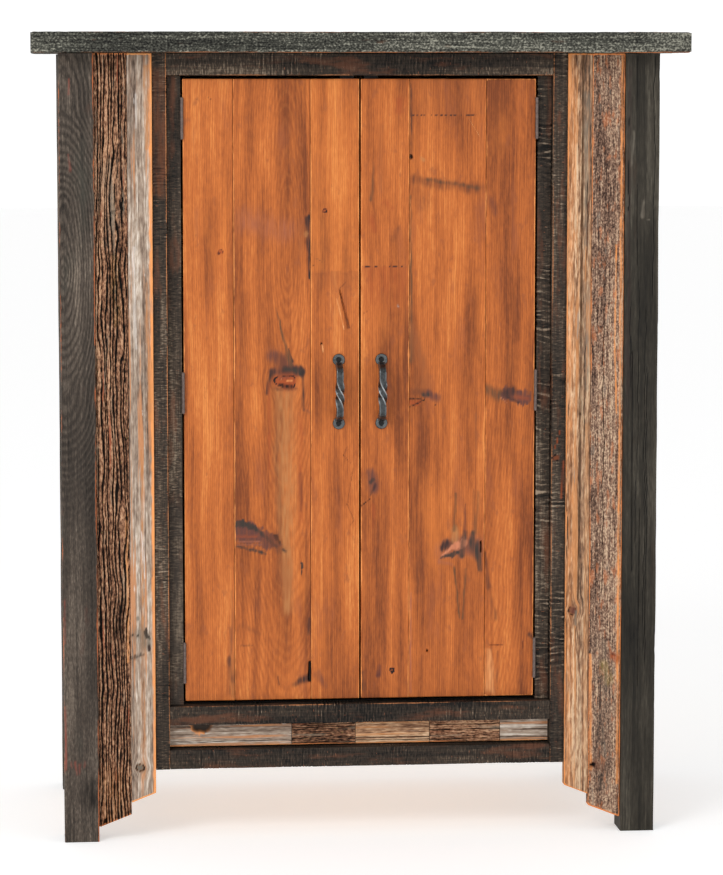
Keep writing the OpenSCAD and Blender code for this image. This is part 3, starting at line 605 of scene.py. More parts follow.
def weather(grid, world, look, spacing, faceDepth):
    # height = minus the sum of depth times pattern, for ridges, crumbling, saw marks, rings, dents, cracks and
    # marks; the same patterns give the groove, the wear and the tone
    s, a, seed = grid["s"], grid["a"], grid["seed"]
    marks = paintMarks(world, look, faceDepth, seed)
    across = s - grid["middle"] + look["bend"] * layered(a / 0.3, s / 0.4, seed + 1) + marks["bend"]
    height, groove, tone = -marks["dip"], np.zeros(a.shape), np.full(a.shape, look["shift"])
    heart, lean, peak = look["heart"]
    swing = lean * (a - peak) + look["wave"] * layered(a / 0.22, 0 * a + 0.3, seed + 8)
    ring = np.hypot(across - heart, swing + 0.004 * layered(s / 0.05, a / 0.15, seed + 9))
    show = step(a, *look["ringShow"])
    lines = 0.5 + 0.5 * np.cos(2 * np.pi * ring / spacing)
    height -= look["ring"] * show * step(lines, 0.2, 1.0)
    depth, pitch, sway = look["ridges"]
    if depth:
        phase = (across + sway * layered(a / 0.12, across / 0.03, seed + 2)) / pitch
        phase = phase + 0.35 * noise(phase, a / 0.4, seed + 14)
        width = 0.12 + 0.85 * layered(a / 0.055, np.round(phase) * 1.7, seed + 15)
        ragged = 0.8 * layered(across / 0.003, a / 0.009, seed + 16)
        cut = step(np.cos(2 * np.pi * phase) - width + ragged, 0, 0.5)
        chips = step(noise(across / 0.009, a / 0.003, seed + 12), 0.35, 0.8)
        chips = chips * step(noise(across / 0.02, a / 0.06, seed + 13), -0.1, 0.5)
        height -= depth * np.maximum(cut, 0.5 * chips)
        groove = np.maximum(groove, np.maximum(cut, 0.55 * chips))
        tone += 0.10 * np.cos(2 * np.pi * phase + 2.2)
    if look["crumble"]:
        pits = layered(across / 0.0035, a / 0.009, seed + 17)
        height -= look["crumble"] * step(pits, -0.4, 0.5)
        tone -= 0.16 * pits
    sawDepth, sawPitch, sawHighlightAndShade = look["saw"]
    # saw marks: cuts in the height, a painted highlight along each crest in the tone, and painted shade in
    # each cut through the groove colour
    if sawDepth:
        slant = a + 0.05 * s + 0.002 * layered(s / 0.03, a / 0.06, seed + 3)
        phase = slant / sawPitch + 1.3 * layered(slant / (3.5 * sawPitch), s / 0.09, seed + 4)
        blade = np.cos(2 * np.pi * phase)
        strength = np.clip(0.5 + 0.8 * noise(a / 0.07, s / 0.3, seed + 18), 0.05, 1.2)
        blotch = noise(s / 0.016, slant / (0.8 * sawPitch), seed + 19)
        strength = strength * np.clip(0.6 + 0.9 * blotch, 0, 1.3)
        height -= sawDepth * strength * step(-blade, -0.5, 0.6)
        tone += sawHighlightAndShade * strength * (step(blade, 0.4, 0.97) - 0.36)
        groove = np.maximum(groove, 0.6 * strength * step(-blade, 0.6, 0.95))
    dentDepth, dentSize = look["dent"]
    height -= dentDepth * (0.5 + 0.5 * layered(s / dentSize, a / (2.5 * dentSize), seed + 7))
    rng = np.random.default_rng(seed)
    for _ in range(look["cracks"]):
        at = rng.uniform(s.min(), s.max())
        start = rng.uniform(a.min(), a.max())
        reach = rng.uniform(0.05, 0.35)
        off = np.abs(across + grid["middle"] - at - 0.002 * noise(a / 0.03, 0 * a + at * 90, seed + 11))
        crack = step(0.0011 - off, 0, 0.0008) * step(reach - np.abs(a - start), 0, 0.03)
        height -= 0.0012 * crack
        groove = np.maximum(groove, crack)
    tone += look["toneNoise"] * layered(s / 0.05, a / 0.3, seed + 21)
    along = layered(a / 0.05, grid["corner"] * 5.0, seed + 22)
    extra = np.zeros(grid["corner"].shape)
    # extra on the listed corners: wear, and on the door planks a painted highlight along the lit front arrises
    for corner, amount in look["worn"].items():
        extra = extra + amount * (grid["corner"] == corner)
    wear = look["wear"] * (0.35 + 0.6 * along) + extra * (0.8 + 0.4 * along)
    wear = wear * step(edgeWidth - grid["edge"], 0, edgeWidth)
    wear = wear + look["endWear"] * step(edgeWidth - grid["fromEnd"], 0, 0.003)
    wear = wear + look["rubbed"] * step(layered(s / 0.012, a / 0.05, seed + 23), 0.5, 0.8)
    wear = np.clip(wear, 0, 1)
    return height, {"across": across, "ring": ring, "show": show, "groove": groove, "wear": wear,
                    "knot": marks["knot"], "tone": tone, "stain": marks["stain"]}


def gridMesh(name, points):
    # quads between neighbouring rings, which close round on themselves, and one flat face on each end
    rings, count = points.shape[:2]
    index = np.arange(rings * count).reshape(rings, count)
    near, far = index[:-1], index[1:]
    quads = np.stack([near, np.roll(near, -1, 1), np.roll(far, -1, 1), far], -1).reshape(-1)
    loops = np.concatenate([quads, index[0][::-1], index[-1]])
    starts = np.append(np.arange(0, len(quads), 4), [len(quads), len(quads) + count])
    mesh = bpy.data.meshes.new(name)
    mesh.vertices.add(rings * count)
    mesh.vertices.foreach_set("co", points.reshape(-1).astype(np.float32))
    mesh.loops.add(len(loops))
    mesh.loops.foreach_set("vertex_index", loops.astype(np.int32))
    mesh.polygons.add(len(starts))
    mesh.polygons.foreach_set("loop_start", starts.astype(np.int32))
    ends = np.zeros(len(starts), np.int32)
    ends[-2:] = 1
    mesh.polygons.foreach_set("material_index", ends)
    mesh.update(calc_edges=True)
    mesh.shade_smooth()
    mesh.set_sharp_from_angle(angle=math.radians(50))
    return mesh


def setAttribute(mesh, name, kind, values):
    attribute = mesh.attributes.new(name, kind, "POINT")
    field = {"FLOAT": "value", "FLOAT_VECTOR": "vector", "FLOAT_COLOR": "color"}[kind]
    attribute.data.foreach_set(field, values.reshape(-1).astype(np.float32))


def placePiece(name, mesh, body, nodes, materials):
    piece = bpy.data.objects.new(name, mesh)
    bpy.context.scene.collection.objects.link(piece)
    for material in materials:
        mesh.materials.append(material)
    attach(piece, body)
    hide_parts(*nodes)
    return piece


bodies = frame["record"]["behaviour"]["bodies"]
bodyOf = {node: body for body, members in bodies.items() for node in members}
boardCount = 0


def makeBoard(name, node, low, high, along, finish, relief, pitches,
              ease=0.002, endEase=0.0015, chip=0.6, seed=1, foot=None):
    # a board is the rounded section carried along its run, moved in along its normals by the relief
    global boardCount
    look = {**plainRelief, **relief}
    grid = boardGrid(np.array(low), np.array(high), along, pitches, ease * 2.2, endEase, seed, foot)
    section, outward = roundSection(grid, ease, endEase, chip)
    height, marks = weather(grid, worldOf(grid, section), look, finishes[finish]["ringSpacing"], low[1])
    calm = step(grid["fromEnd"], 0, 0.002)
    size = np.ravel(grid["high"] - grid["low"])
    thin = int(np.argmin(size))
    if size[thin] < 0.7 * size[1 - thin]:
        calm = calm * (0.2 + 0.8 * np.abs(outward[..., thin]))
    section = section + outward * (np.minimum(height, 0) * calm)[..., None]
    if foot is not None:
        share = (grid["a"] - grid["a"][0]) / (grid["a"][-1] - grid["a"][0])
        start = foot(section[..., 0])
        grid["a"] = start + share * (grid["a"][-1] - start)
    mesh = gridMesh(name, worldOf(grid, section))
    apart = np.full(marks["tone"].shape, 3.1 * seed)    # each seed reads its own part of the noise
    grain = np.stack([marks["across"] + 0.37 * seed, grid["a"] + 1.7 * seed, apart], -1)
    setAttribute(mesh, "grain", "FLOAT_VECTOR", grain)
    shown = np.stack([marks["groove"], marks["wear"], marks["knot"]], -1)
    setAttribute(mesh, "marks", "FLOAT_VECTOR", shown)
    setAttribute(mesh, "tone", "FLOAT", marks["tone"])
    setAttribute(mesh, "ring", "FLOAT", marks["ring"])
    setAttribute(mesh, "ringShow", "FLOAT", marks["show"])
    setAttribute(mesh, "stain", "FLOAT_COLOR", marks["stain"])
    boardCount += 1
    return placePiece(name, mesh, bodyOf[node], [node], woodMaterials[finish])


def solidBoxes(node, axis):
    # the boxes of a CAD node's separate solids, in order along an axis. Triangles that share a corner belong
    # together: each corner takes the lowest label of its triangles until none changes
    mesh = frame["nodes"][node].data
    co = np.zeros(len(mesh.vertices) * 3)
    mesh.vertices.foreach_get("co", co)
    co = co.reshape(-1, 3)
    corners = np.zeros(len(mesh.loops), np.int64)
    mesh.loops.foreach_get("vertex_index", corners)
    _, same = np.unique(np.round(co, 5), axis=0, return_inverse=True)
    triangles = same.reshape(-1)[corners].reshape(-1, 3)
    label = np.arange(same.max() + 1)
    while True:
        smallest = label[triangles].min(1)
        fresh = label.copy()
        for k in range(3):
            np.minimum.at(fresh, triangles[:, k], smallest)
        fresh = fresh[fresh]
        if (fresh == label).all():
            break
        label = fresh
    groups = label[same.reshape(-1)]
    boxes = [(co[groups == g].min(0), co[groups == g].max(0)) for g in np.unique(groups)]
    return sorted(boxes, key=lambda box: box[0][axis])


def nodeBox(node):
    low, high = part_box(node)
    return np.array(low), np.array(high)


def pieceName(node):
    return node.title().replace("_", "")


def makeBoards(name, node, order, along, finish, relief, pitches, ease, seed):
    # one board for each separate solid of the node, numbered along the given axis
    for i, (low, high) in enumerate(solidBoxes(node, order)):
        makeBoard(f"{name}{i + 1}", node, low, high, along, finish, relief, pitches, ease=ease, seed=seed + i)


setStudio(studio)

# the top

topBoards = {
    "relief": {"crumble": 0.0009, "dent": (0.0016, 0.05), "cracks": 10, "bend": 0.006, "wear": 0.5,
               "worn": {3: 0.7, 2: 0.35}, "toneNoise": 0.15, "rubbed": 0.2},
    "pitches": {"along": 0.0050, "-y": 0.0018, "+z": 0.0042, "+y": 0.004, "other": 0.008},
    "ease": 0.0035, "endEase": 0.006, "chip": 1.1,
}


def makeTop(s):
    for i, part in enumerate(("front", "middle", "rear")):
        node = "top_board_" + part
        makeBoard("topBoard" + part.capitalize(), node, *nodeBox(node), "x", "charcoalTop", s["relief"],
                  s["pitches"], ease=s["ease"], endEase=s["endEase"], chip=s["chip"], seed=11 + i)


makeTop(topBoards)
print("top made")

# the posts

posts = {
    "brushed": {"ring": 0.0008, "dent": (0.0014, 0.06), "cracks": 3, "bend": 0.006, "wear": 0.6,
                "wave": 0.035, "heart": (0.006, 0.24, 1.10), "ringShow": (0.5, 0.8),
                "toneNoise": 0.12, "rubbed": 0.25},
    "checked": {"ring": 0.0002, "dent": (0.0016, 0.05), "cracks": 22, "bend": 0.004, "wear": 0.4,
                "wave": 0.02, "heart": (0.03, 0.03, 0.2), "toneNoise": 0.12, "rubbed": 0.1},
    "front_left": {"worn": {3: 0.62, 2: 0.32}, "marks": [
        ("stain", -0.548, 0.152, -0.546, 0.143, 0.0024, 0.0018, "redRub", 0.4),
        ("stain", -0.540, 0.152, -0.536, 0.130, 0.0030, 0.0018, "redRub", 0.45),
        ("stain", -0.531, 0.150, -0.531, 0.132, 0.0030, 0.0020, "redRub", 0.4),
        ("stain", -0.521, 0.152, -0.523, 0.142, 0.0026, 0.0018, "redRub", 0.35),
        ("stain", -0.527, 1.02, -0.527, 0.10, 0.040, 0.040, "ink", 0.42),
        ("stain", -0.508, 0.112, -0.508, 0.082, 0.016, 0.020, "black", 0.6),
        ("stain", -0.540, 1.43, -0.541, 1.40, 0.002, 0.003, "redRub", 0.4),
        ("stain", -0.557, 0.46, -0.557, 0.38, 0.002, 0.002, "redRub", 0.4),
        ("stain", -0.558, 0.26, -0.557, 0.14, 0.002, 0.002, "redRub", 0.45),
        ("stain", -0.543, 1.29, -0.539, 1.26, 0.002, 0.003, "redRub", 0.4)]},
    "front_right": {"marks": [
        ("crack", 0.517, 1.47, 0.518, 1.36, 0.0010, 0.0004, "black", 0.9),
        ("crack", 0.518, 1.25, 0.520, 1.08, 0.0004, 0.0012, "black", 0.9),
        ("crack", 0.512, 0.92, 0.514, 0.50, 0.0012, 0.0012, "black", 0.9),
        ("crack", 0.528, 0.62, 0.527, 0.28, 0.0012, 0.0005, "black", 0.9),
        # a dark strip down the left of the post's front: painted shade where the post's edge falls in shadow
        ("stain", 0.502, 1.45, 0.503, 0.80, 0.006, 0.006, "sootAndShade", 0.5),
        ("crack", 0.535, 1.165, 0.543, 1.166, 0.0008, 0.0008, "mist", 0.9),
        ("stain", 0.531, 1.20, 0.529, 1.17, 0.003, 0.004, "mist", 0.7),
        ("stain", 0.511, 1.33, 0.508, 1.27, 0.003, 0.003, "mist", 0.6)]},
    "rear_left": {}, "rear_right": {},
    "frontPitches": {"along": 0.0046, "-y": 0.0013, "-x": 0.003, "+x": 0.003, "other": 0.006},
    "rearPitches": {"along": 0.010, "+y": 0.0026, "-x": 0.0026, "+x": 0.0026, "other": 0.004},
    "ease": 0.0035,
}


def makePosts(s):
    for seed, (place, relief, finish) in enumerate((
        ("front_left", "brushed", "charcoalPost"), ("front_right", "checked", "charcoalPostDark"),
        ("rear_left", "checked", "charcoalPost"), ("rear_right", "brushed", "charcoalPostDark"),
    )):
        node = place + "_post"
        low, high = nodeBox(node)
        pitches = s["frontPitches"] if place.startswith("front") else s["rearPitches"]
        makeBoard(pieceName(node), node, low, high, "z", finish, {**s[relief], **s[place]}, pitches,
                  ease=s["ease"], chip=1.2, seed=21 + seed)


makePosts(posts)
print("posts made")

# the front planks

planks = {
    "footSlope": 21.5,          # degrees, lowest at the post
    "reach": 0.003,             # the outer planks are drawn this much nearer the posts
    "pitches": {"along": 0.0044, "-y": 0.0009, "-x": 0.003, "+x": 0.003, "other": 0.008},
    "left_outer": ("ridgedBrown", 31, {
        "ridges": (0.0030, 0.0062, 0.010), "crumble": 0.0018, "dent": (0.001, 0.04), "bend": 0.005,
        "wear": 0.3, "endWear": 0.7, "toneNoise": 0.15, "marks": [
            ("stain", -0.468, 1.26, -0.470, 1.12, 0.020, 0.016, "mist", 0.35),
            ("stain", -0.460, 1.10, -0.456, 0.98, 0.012, 0.010, "lichen", 0.18),
            ("stain", -0.452, 0.46, -0.458, 0.36, 0.012, 0.012, "black", 0.6),
            ("stain", -0.466, 0.12, -0.466, 0.04, 0.030, 0.030, "greyTan", 0.35),
            ("stain", -0.440, 0.62, -0.439, 0.34, 0.003, 0.003, "pale", 0.6),
            ("hole", -0.483, 0.040, -0.485, 0.028, 0.004, 0.005, "black", 0.9)]}),
    "left_inner": ("silverGrey", 32, {
        "crumble": 0.0003, "dent": (0.0008, 0.04), "cracks": 4, "bend": 0.004, "wear": 0.3, "worn": {3: 1.0},
        "endWear": 0.9, "toneNoise": 0.12, "heart": (0.02, 0.1, 0.42), "marks": [
            ("stain", -0.3905, 1.476, -0.3905, 0.08, 0.0045, 0.0035, "glow", 0.95),
            ("stain", -0.399, 1.45, -0.398, 1.30, 0.006, 0.004, "greyTan", 0.6),
            ("stain", -0.401, 1.05, -0.396, 0.80, 0.004, 0.006, "greyTan", 0.5),
            ("stain", -0.412, 0.74, -0.411, 0.12, 0.003, 0.006, "greyTan", 0.6),
            ("stain", -0.420, 0.390, -0.408, 0.372, 0.020, 0.018, "mist", 0.65),
            ("spot", -0.406, 0.398, -0.402, 0.388, 0.0055, 0.0040, "ink", 0.9),
            ("spot", -0.399, 0.374, -0.400, 0.363, 0.0028, 0.0028, "sootAndShade", 0.8),
            ("spot", -0.430, 0.350, -0.412, 0.353, 0.0055, 0.0040, "ink", 0.75),
            ("stain", -0.422, 0.423, -0.421, 0.420, 0.006, 0.005, "mist", 0.7),
            ("crack", -0.432, 0.392, -0.418, 0.390, 0.0012, 0.0008, "black", 0.9),
            ("stain", -0.4175, 0.1386, -0.4170, 0.1386, 0.0050, 0.0050, "bark", 0.7),
            ("knot", -0.418, 0.1386, -0.417, 0.1386, 0.006, 0.006, "mist", 0.9),
            ("crack", -0.412, 0.585, -0.410, 0.530, 0.0009, 0.0009, "chalk", 0.9),
            ("crack", -0.408, 0.565, -0.407, 0.500, 0.0007, 0.0011, "chalk", 0.9),
            ("stain", -0.424, 1.12, -0.421, 0.93, 0.003, 0.004, "chalk", 0.45),
            ("stain", -0.417, 1.40, -0.418, 1.34, 0.003, 0.003, "chalk", 0.4)]}),
    "right_inner": ("tanWeathered", 33, {
        "crumble": 0.0006, "dent": (0.0008, 0.04), "cracks": 8, "bend": 0.0, "wear": 0.4, "worn": {2: 0.9},
        "endWear": 0.7, "toneNoise": 0.15, "marks": [
            ("stain", 0.395, 1.476, 0.396, 0.09, 0.009, 0.008, "glow", 0.42),
            ("stain", 0.424, 1.476, 0.423, 0.09, 0.013, 0.013, "mist", 0.3),
            ("crack", 0.4165, 1.476, 0.4150, 0.80, 0.0022, 0.0024, "slate", 0.75),
            ("crack", 0.4150, 0.80, 0.4130, 0.45, 0.0024, 0.0015, "slate", 0.7),
            ("stain", 0.424, 1.40, 0.424, 1.12, 0.006, 0.005, "mist", 0.5),
            ("stain", 0.426, 1.05, 0.425, 0.85, 0.005, 0.006, "mist", 0.4),
            ("stain", 0.428, 0.78, 0.427, 0.15, 0.005, 0.005, "pale", 0.3),
            ("crack", 0.428, 1.20, 0.425, 1.09, 0.0016, 0.0006, "bark", 0.8),
            ("knot", 0.4006, 0.427, 0.4016, 0.425, 0.007, 0.007, "plum", 0.8),
            ("stain", 0.4085, 0.425, 0.4085, 0.40, 0.003, 0.003, "mist", 0.8)]}),
    "right_outer": ("speckledBrown", 34, {
        "crumble": 0.0011, "dent": (0.001, 0.03), "cracks": 4, "bend": 0.004, "wear": 0.5,
        "worn": {3: 0.9, 2: 0.5}, "endWear": 0.8, "toneNoise": 0.12, "marks": [
            ("stain", 0.490, 1.476, 0.490, 0.09, 0.003, 0.003, "glow", 0.7),
            ("stain", 0.481, 1.12, 0.480, 0.95, 0.002, 0.002, "glow", 0.75),
            ("stain", 0.479, 0.95, 0.484, 0.80, 0.002, 0.002, "glow", 0.75),
            ("stain", 0.462, 0.36, 0.462, 0.10, 0.022, 0.022, "mist", 0.32),
            ("stain", 0.462, 0.322, 0.472, 0.29, 0.009, 0.010, "lichen", 0.3),
            ("stain", 0.481, 0.337, 0.486, 0.333, 0.009, 0.009, "rust", 0.75),
            ("stain", 0.478, 0.341, 0.486, 0.338, 0.002, 0.002, "sootAndShade", 0.7),
            ("stain", 0.4375, 0.34, 0.4385, 0.12, 0.0028, 0.004, "glow", 0.7),
            ("stain", 0.451, 0.128, 0.455, 0.125, 0.013, 0.012, "bark", 0.6),
            ("hole", 0.4405, 0.127, 0.4455, 0.128, 0.0035, 0.0038, "black", 1.0)]}),
}


def makePlanks(s):
    slope = math.tan(math.radians(s["footSlope"]))
    reach = np.array([s["reach"], 0, 0])
    for place in ("left_outer", "left_inner", "right_inner", "right_outer"):
        finish, seed, relief = s[place]
        node = place + "_plank"
        low, high = nodeBox(node)
        outer = low[0] if place.startswith("left") else high[0]
        if place.endswith("outer"):
            low, high = (low - reach, high) if place.startswith("left") else (low, high + reach)
        makeBoard(pieceName(node), node, low, high, "z", finish, relief, s["pitches"], ease=0.002,
                  chip=1.0, seed=seed, foot=lambda x, outer=outer, z=low[2]: z + slope * np.abs(x - outer))


makePlanks(planks)
print("front planks made")

# the face frame

faceFrame = {
    "relief": {"saw": (0.0009, 0.0058, 0.36), "dent": (0.0008, 0.03), "wear": 0.5, "toneNoise": 0.12,
               "rubbed": 0.25},
    "uprights": {"along": 0.0018, "-y": 0.0035, "other": 0.012},
    "levels": {"along": 0.0018, "-y": 0.0035, "+z": 0.006, "-z": 0.006, "other": 0.012},
    "nodes": (
        ("left_face_stile", "z", {"worn": {3: 0.8}, "shift": -0.05, "marks": [
            ("stain", -0.374, 1.44, -0.374, 1.22, 0.020, 0.016, "umber", 0.3)]}),
        ("left_jamb", "z", {"marks": [
            ("stain", -0.352, 0.62, -0.352, 0.26, 0.030, 0.030, "ink", 0.7)]}),
        ("right_face_stile", "z", {"worn": {2: 0.45}, "shift": -0.06, "saw": (0.0014, 0.0098, 0.55), "marks": [
            ("crack", 0.378, 0.77, 0.368, 0.735, 0.0012, 0.002, "rust", 0.7),
            ("knot", 0.369, 0.717, 0.372, 0.716, 0.005, 0.004, "bark", 1.0),
            ("stain", 0.384, 0.71, 0.380, 0.64, 0.003, 0.003, "rust", 0.6)]}),
        ("right_jamb", "z", {"shift": -0.05, "saw": (0.0015, 0.0112, 0.6)}),
        ("top_face_rail", "x", {"worn": {3: 0.45}, "shift": 0.02}),
        ("sill_rail", "x", {"worn": {2: 0.4}, "shift": -0.15}),
        ("bottom_face_rail", "x", {"shift": -0.16})),
}


def makeFaceFrame(s):
    for seed, (node, along, own) in enumerate(s["nodes"]):
        low, high = nodeBox(node)
        makeBoard(pieceName(node), node, low, high, along, "sawnDark", {**s["relief"], **own},
                  s["uprights" if along == "z" else "levels"], ease=0.0014, chip=1.4, seed=41 + seed)


makeFaceFrame(faceFrame)

roughBlock = {"crumble": 0.0014, "cracks": 14}
blocks = {
    "finishes": ("silverGrey", "ridgedBrown", "tanWeathered", "ridgedBrown", "silverGrey"),
    "relief": {"crumble": 0.0009, "dent": (0.001, 0.03), "cracks": 4, "wear": 0.4, "worn": {3: 0.8},
               "toneNoise": 0.2},
    "own": ({"shift": -0.03, "marks": [
                ("spot", -0.308, 0.2120, -0.294, 0.2120, 0.0160, 0.0160, "glow", 0.85),
                ("hole", -0.308, 0.2120, -0.294, 0.2120, 0.0115, 0.0115, "ink", 1.0)]},
            roughBlock, {"shift": 0.16}, roughBlock, {"shift": -0.03}),
    "pitches": {"along": 0.003, "-y": 0.001, "other": 0.005},
}


def makeBlocks(s):
    for i, (low, high) in enumerate(solidBoxes("apron_blocks", 0)):
        makeBoard(f"ApronBlock{i + 1}", "apron_blocks", low, high, "x", s["finishes"][i],
                  {**s["relief"], **s["own"][i]}, s["pitches"], ease=0.0012, chip=1.0, seed=51 + i)


makeBlocks(blocks)
print("face frame made")

# the doors

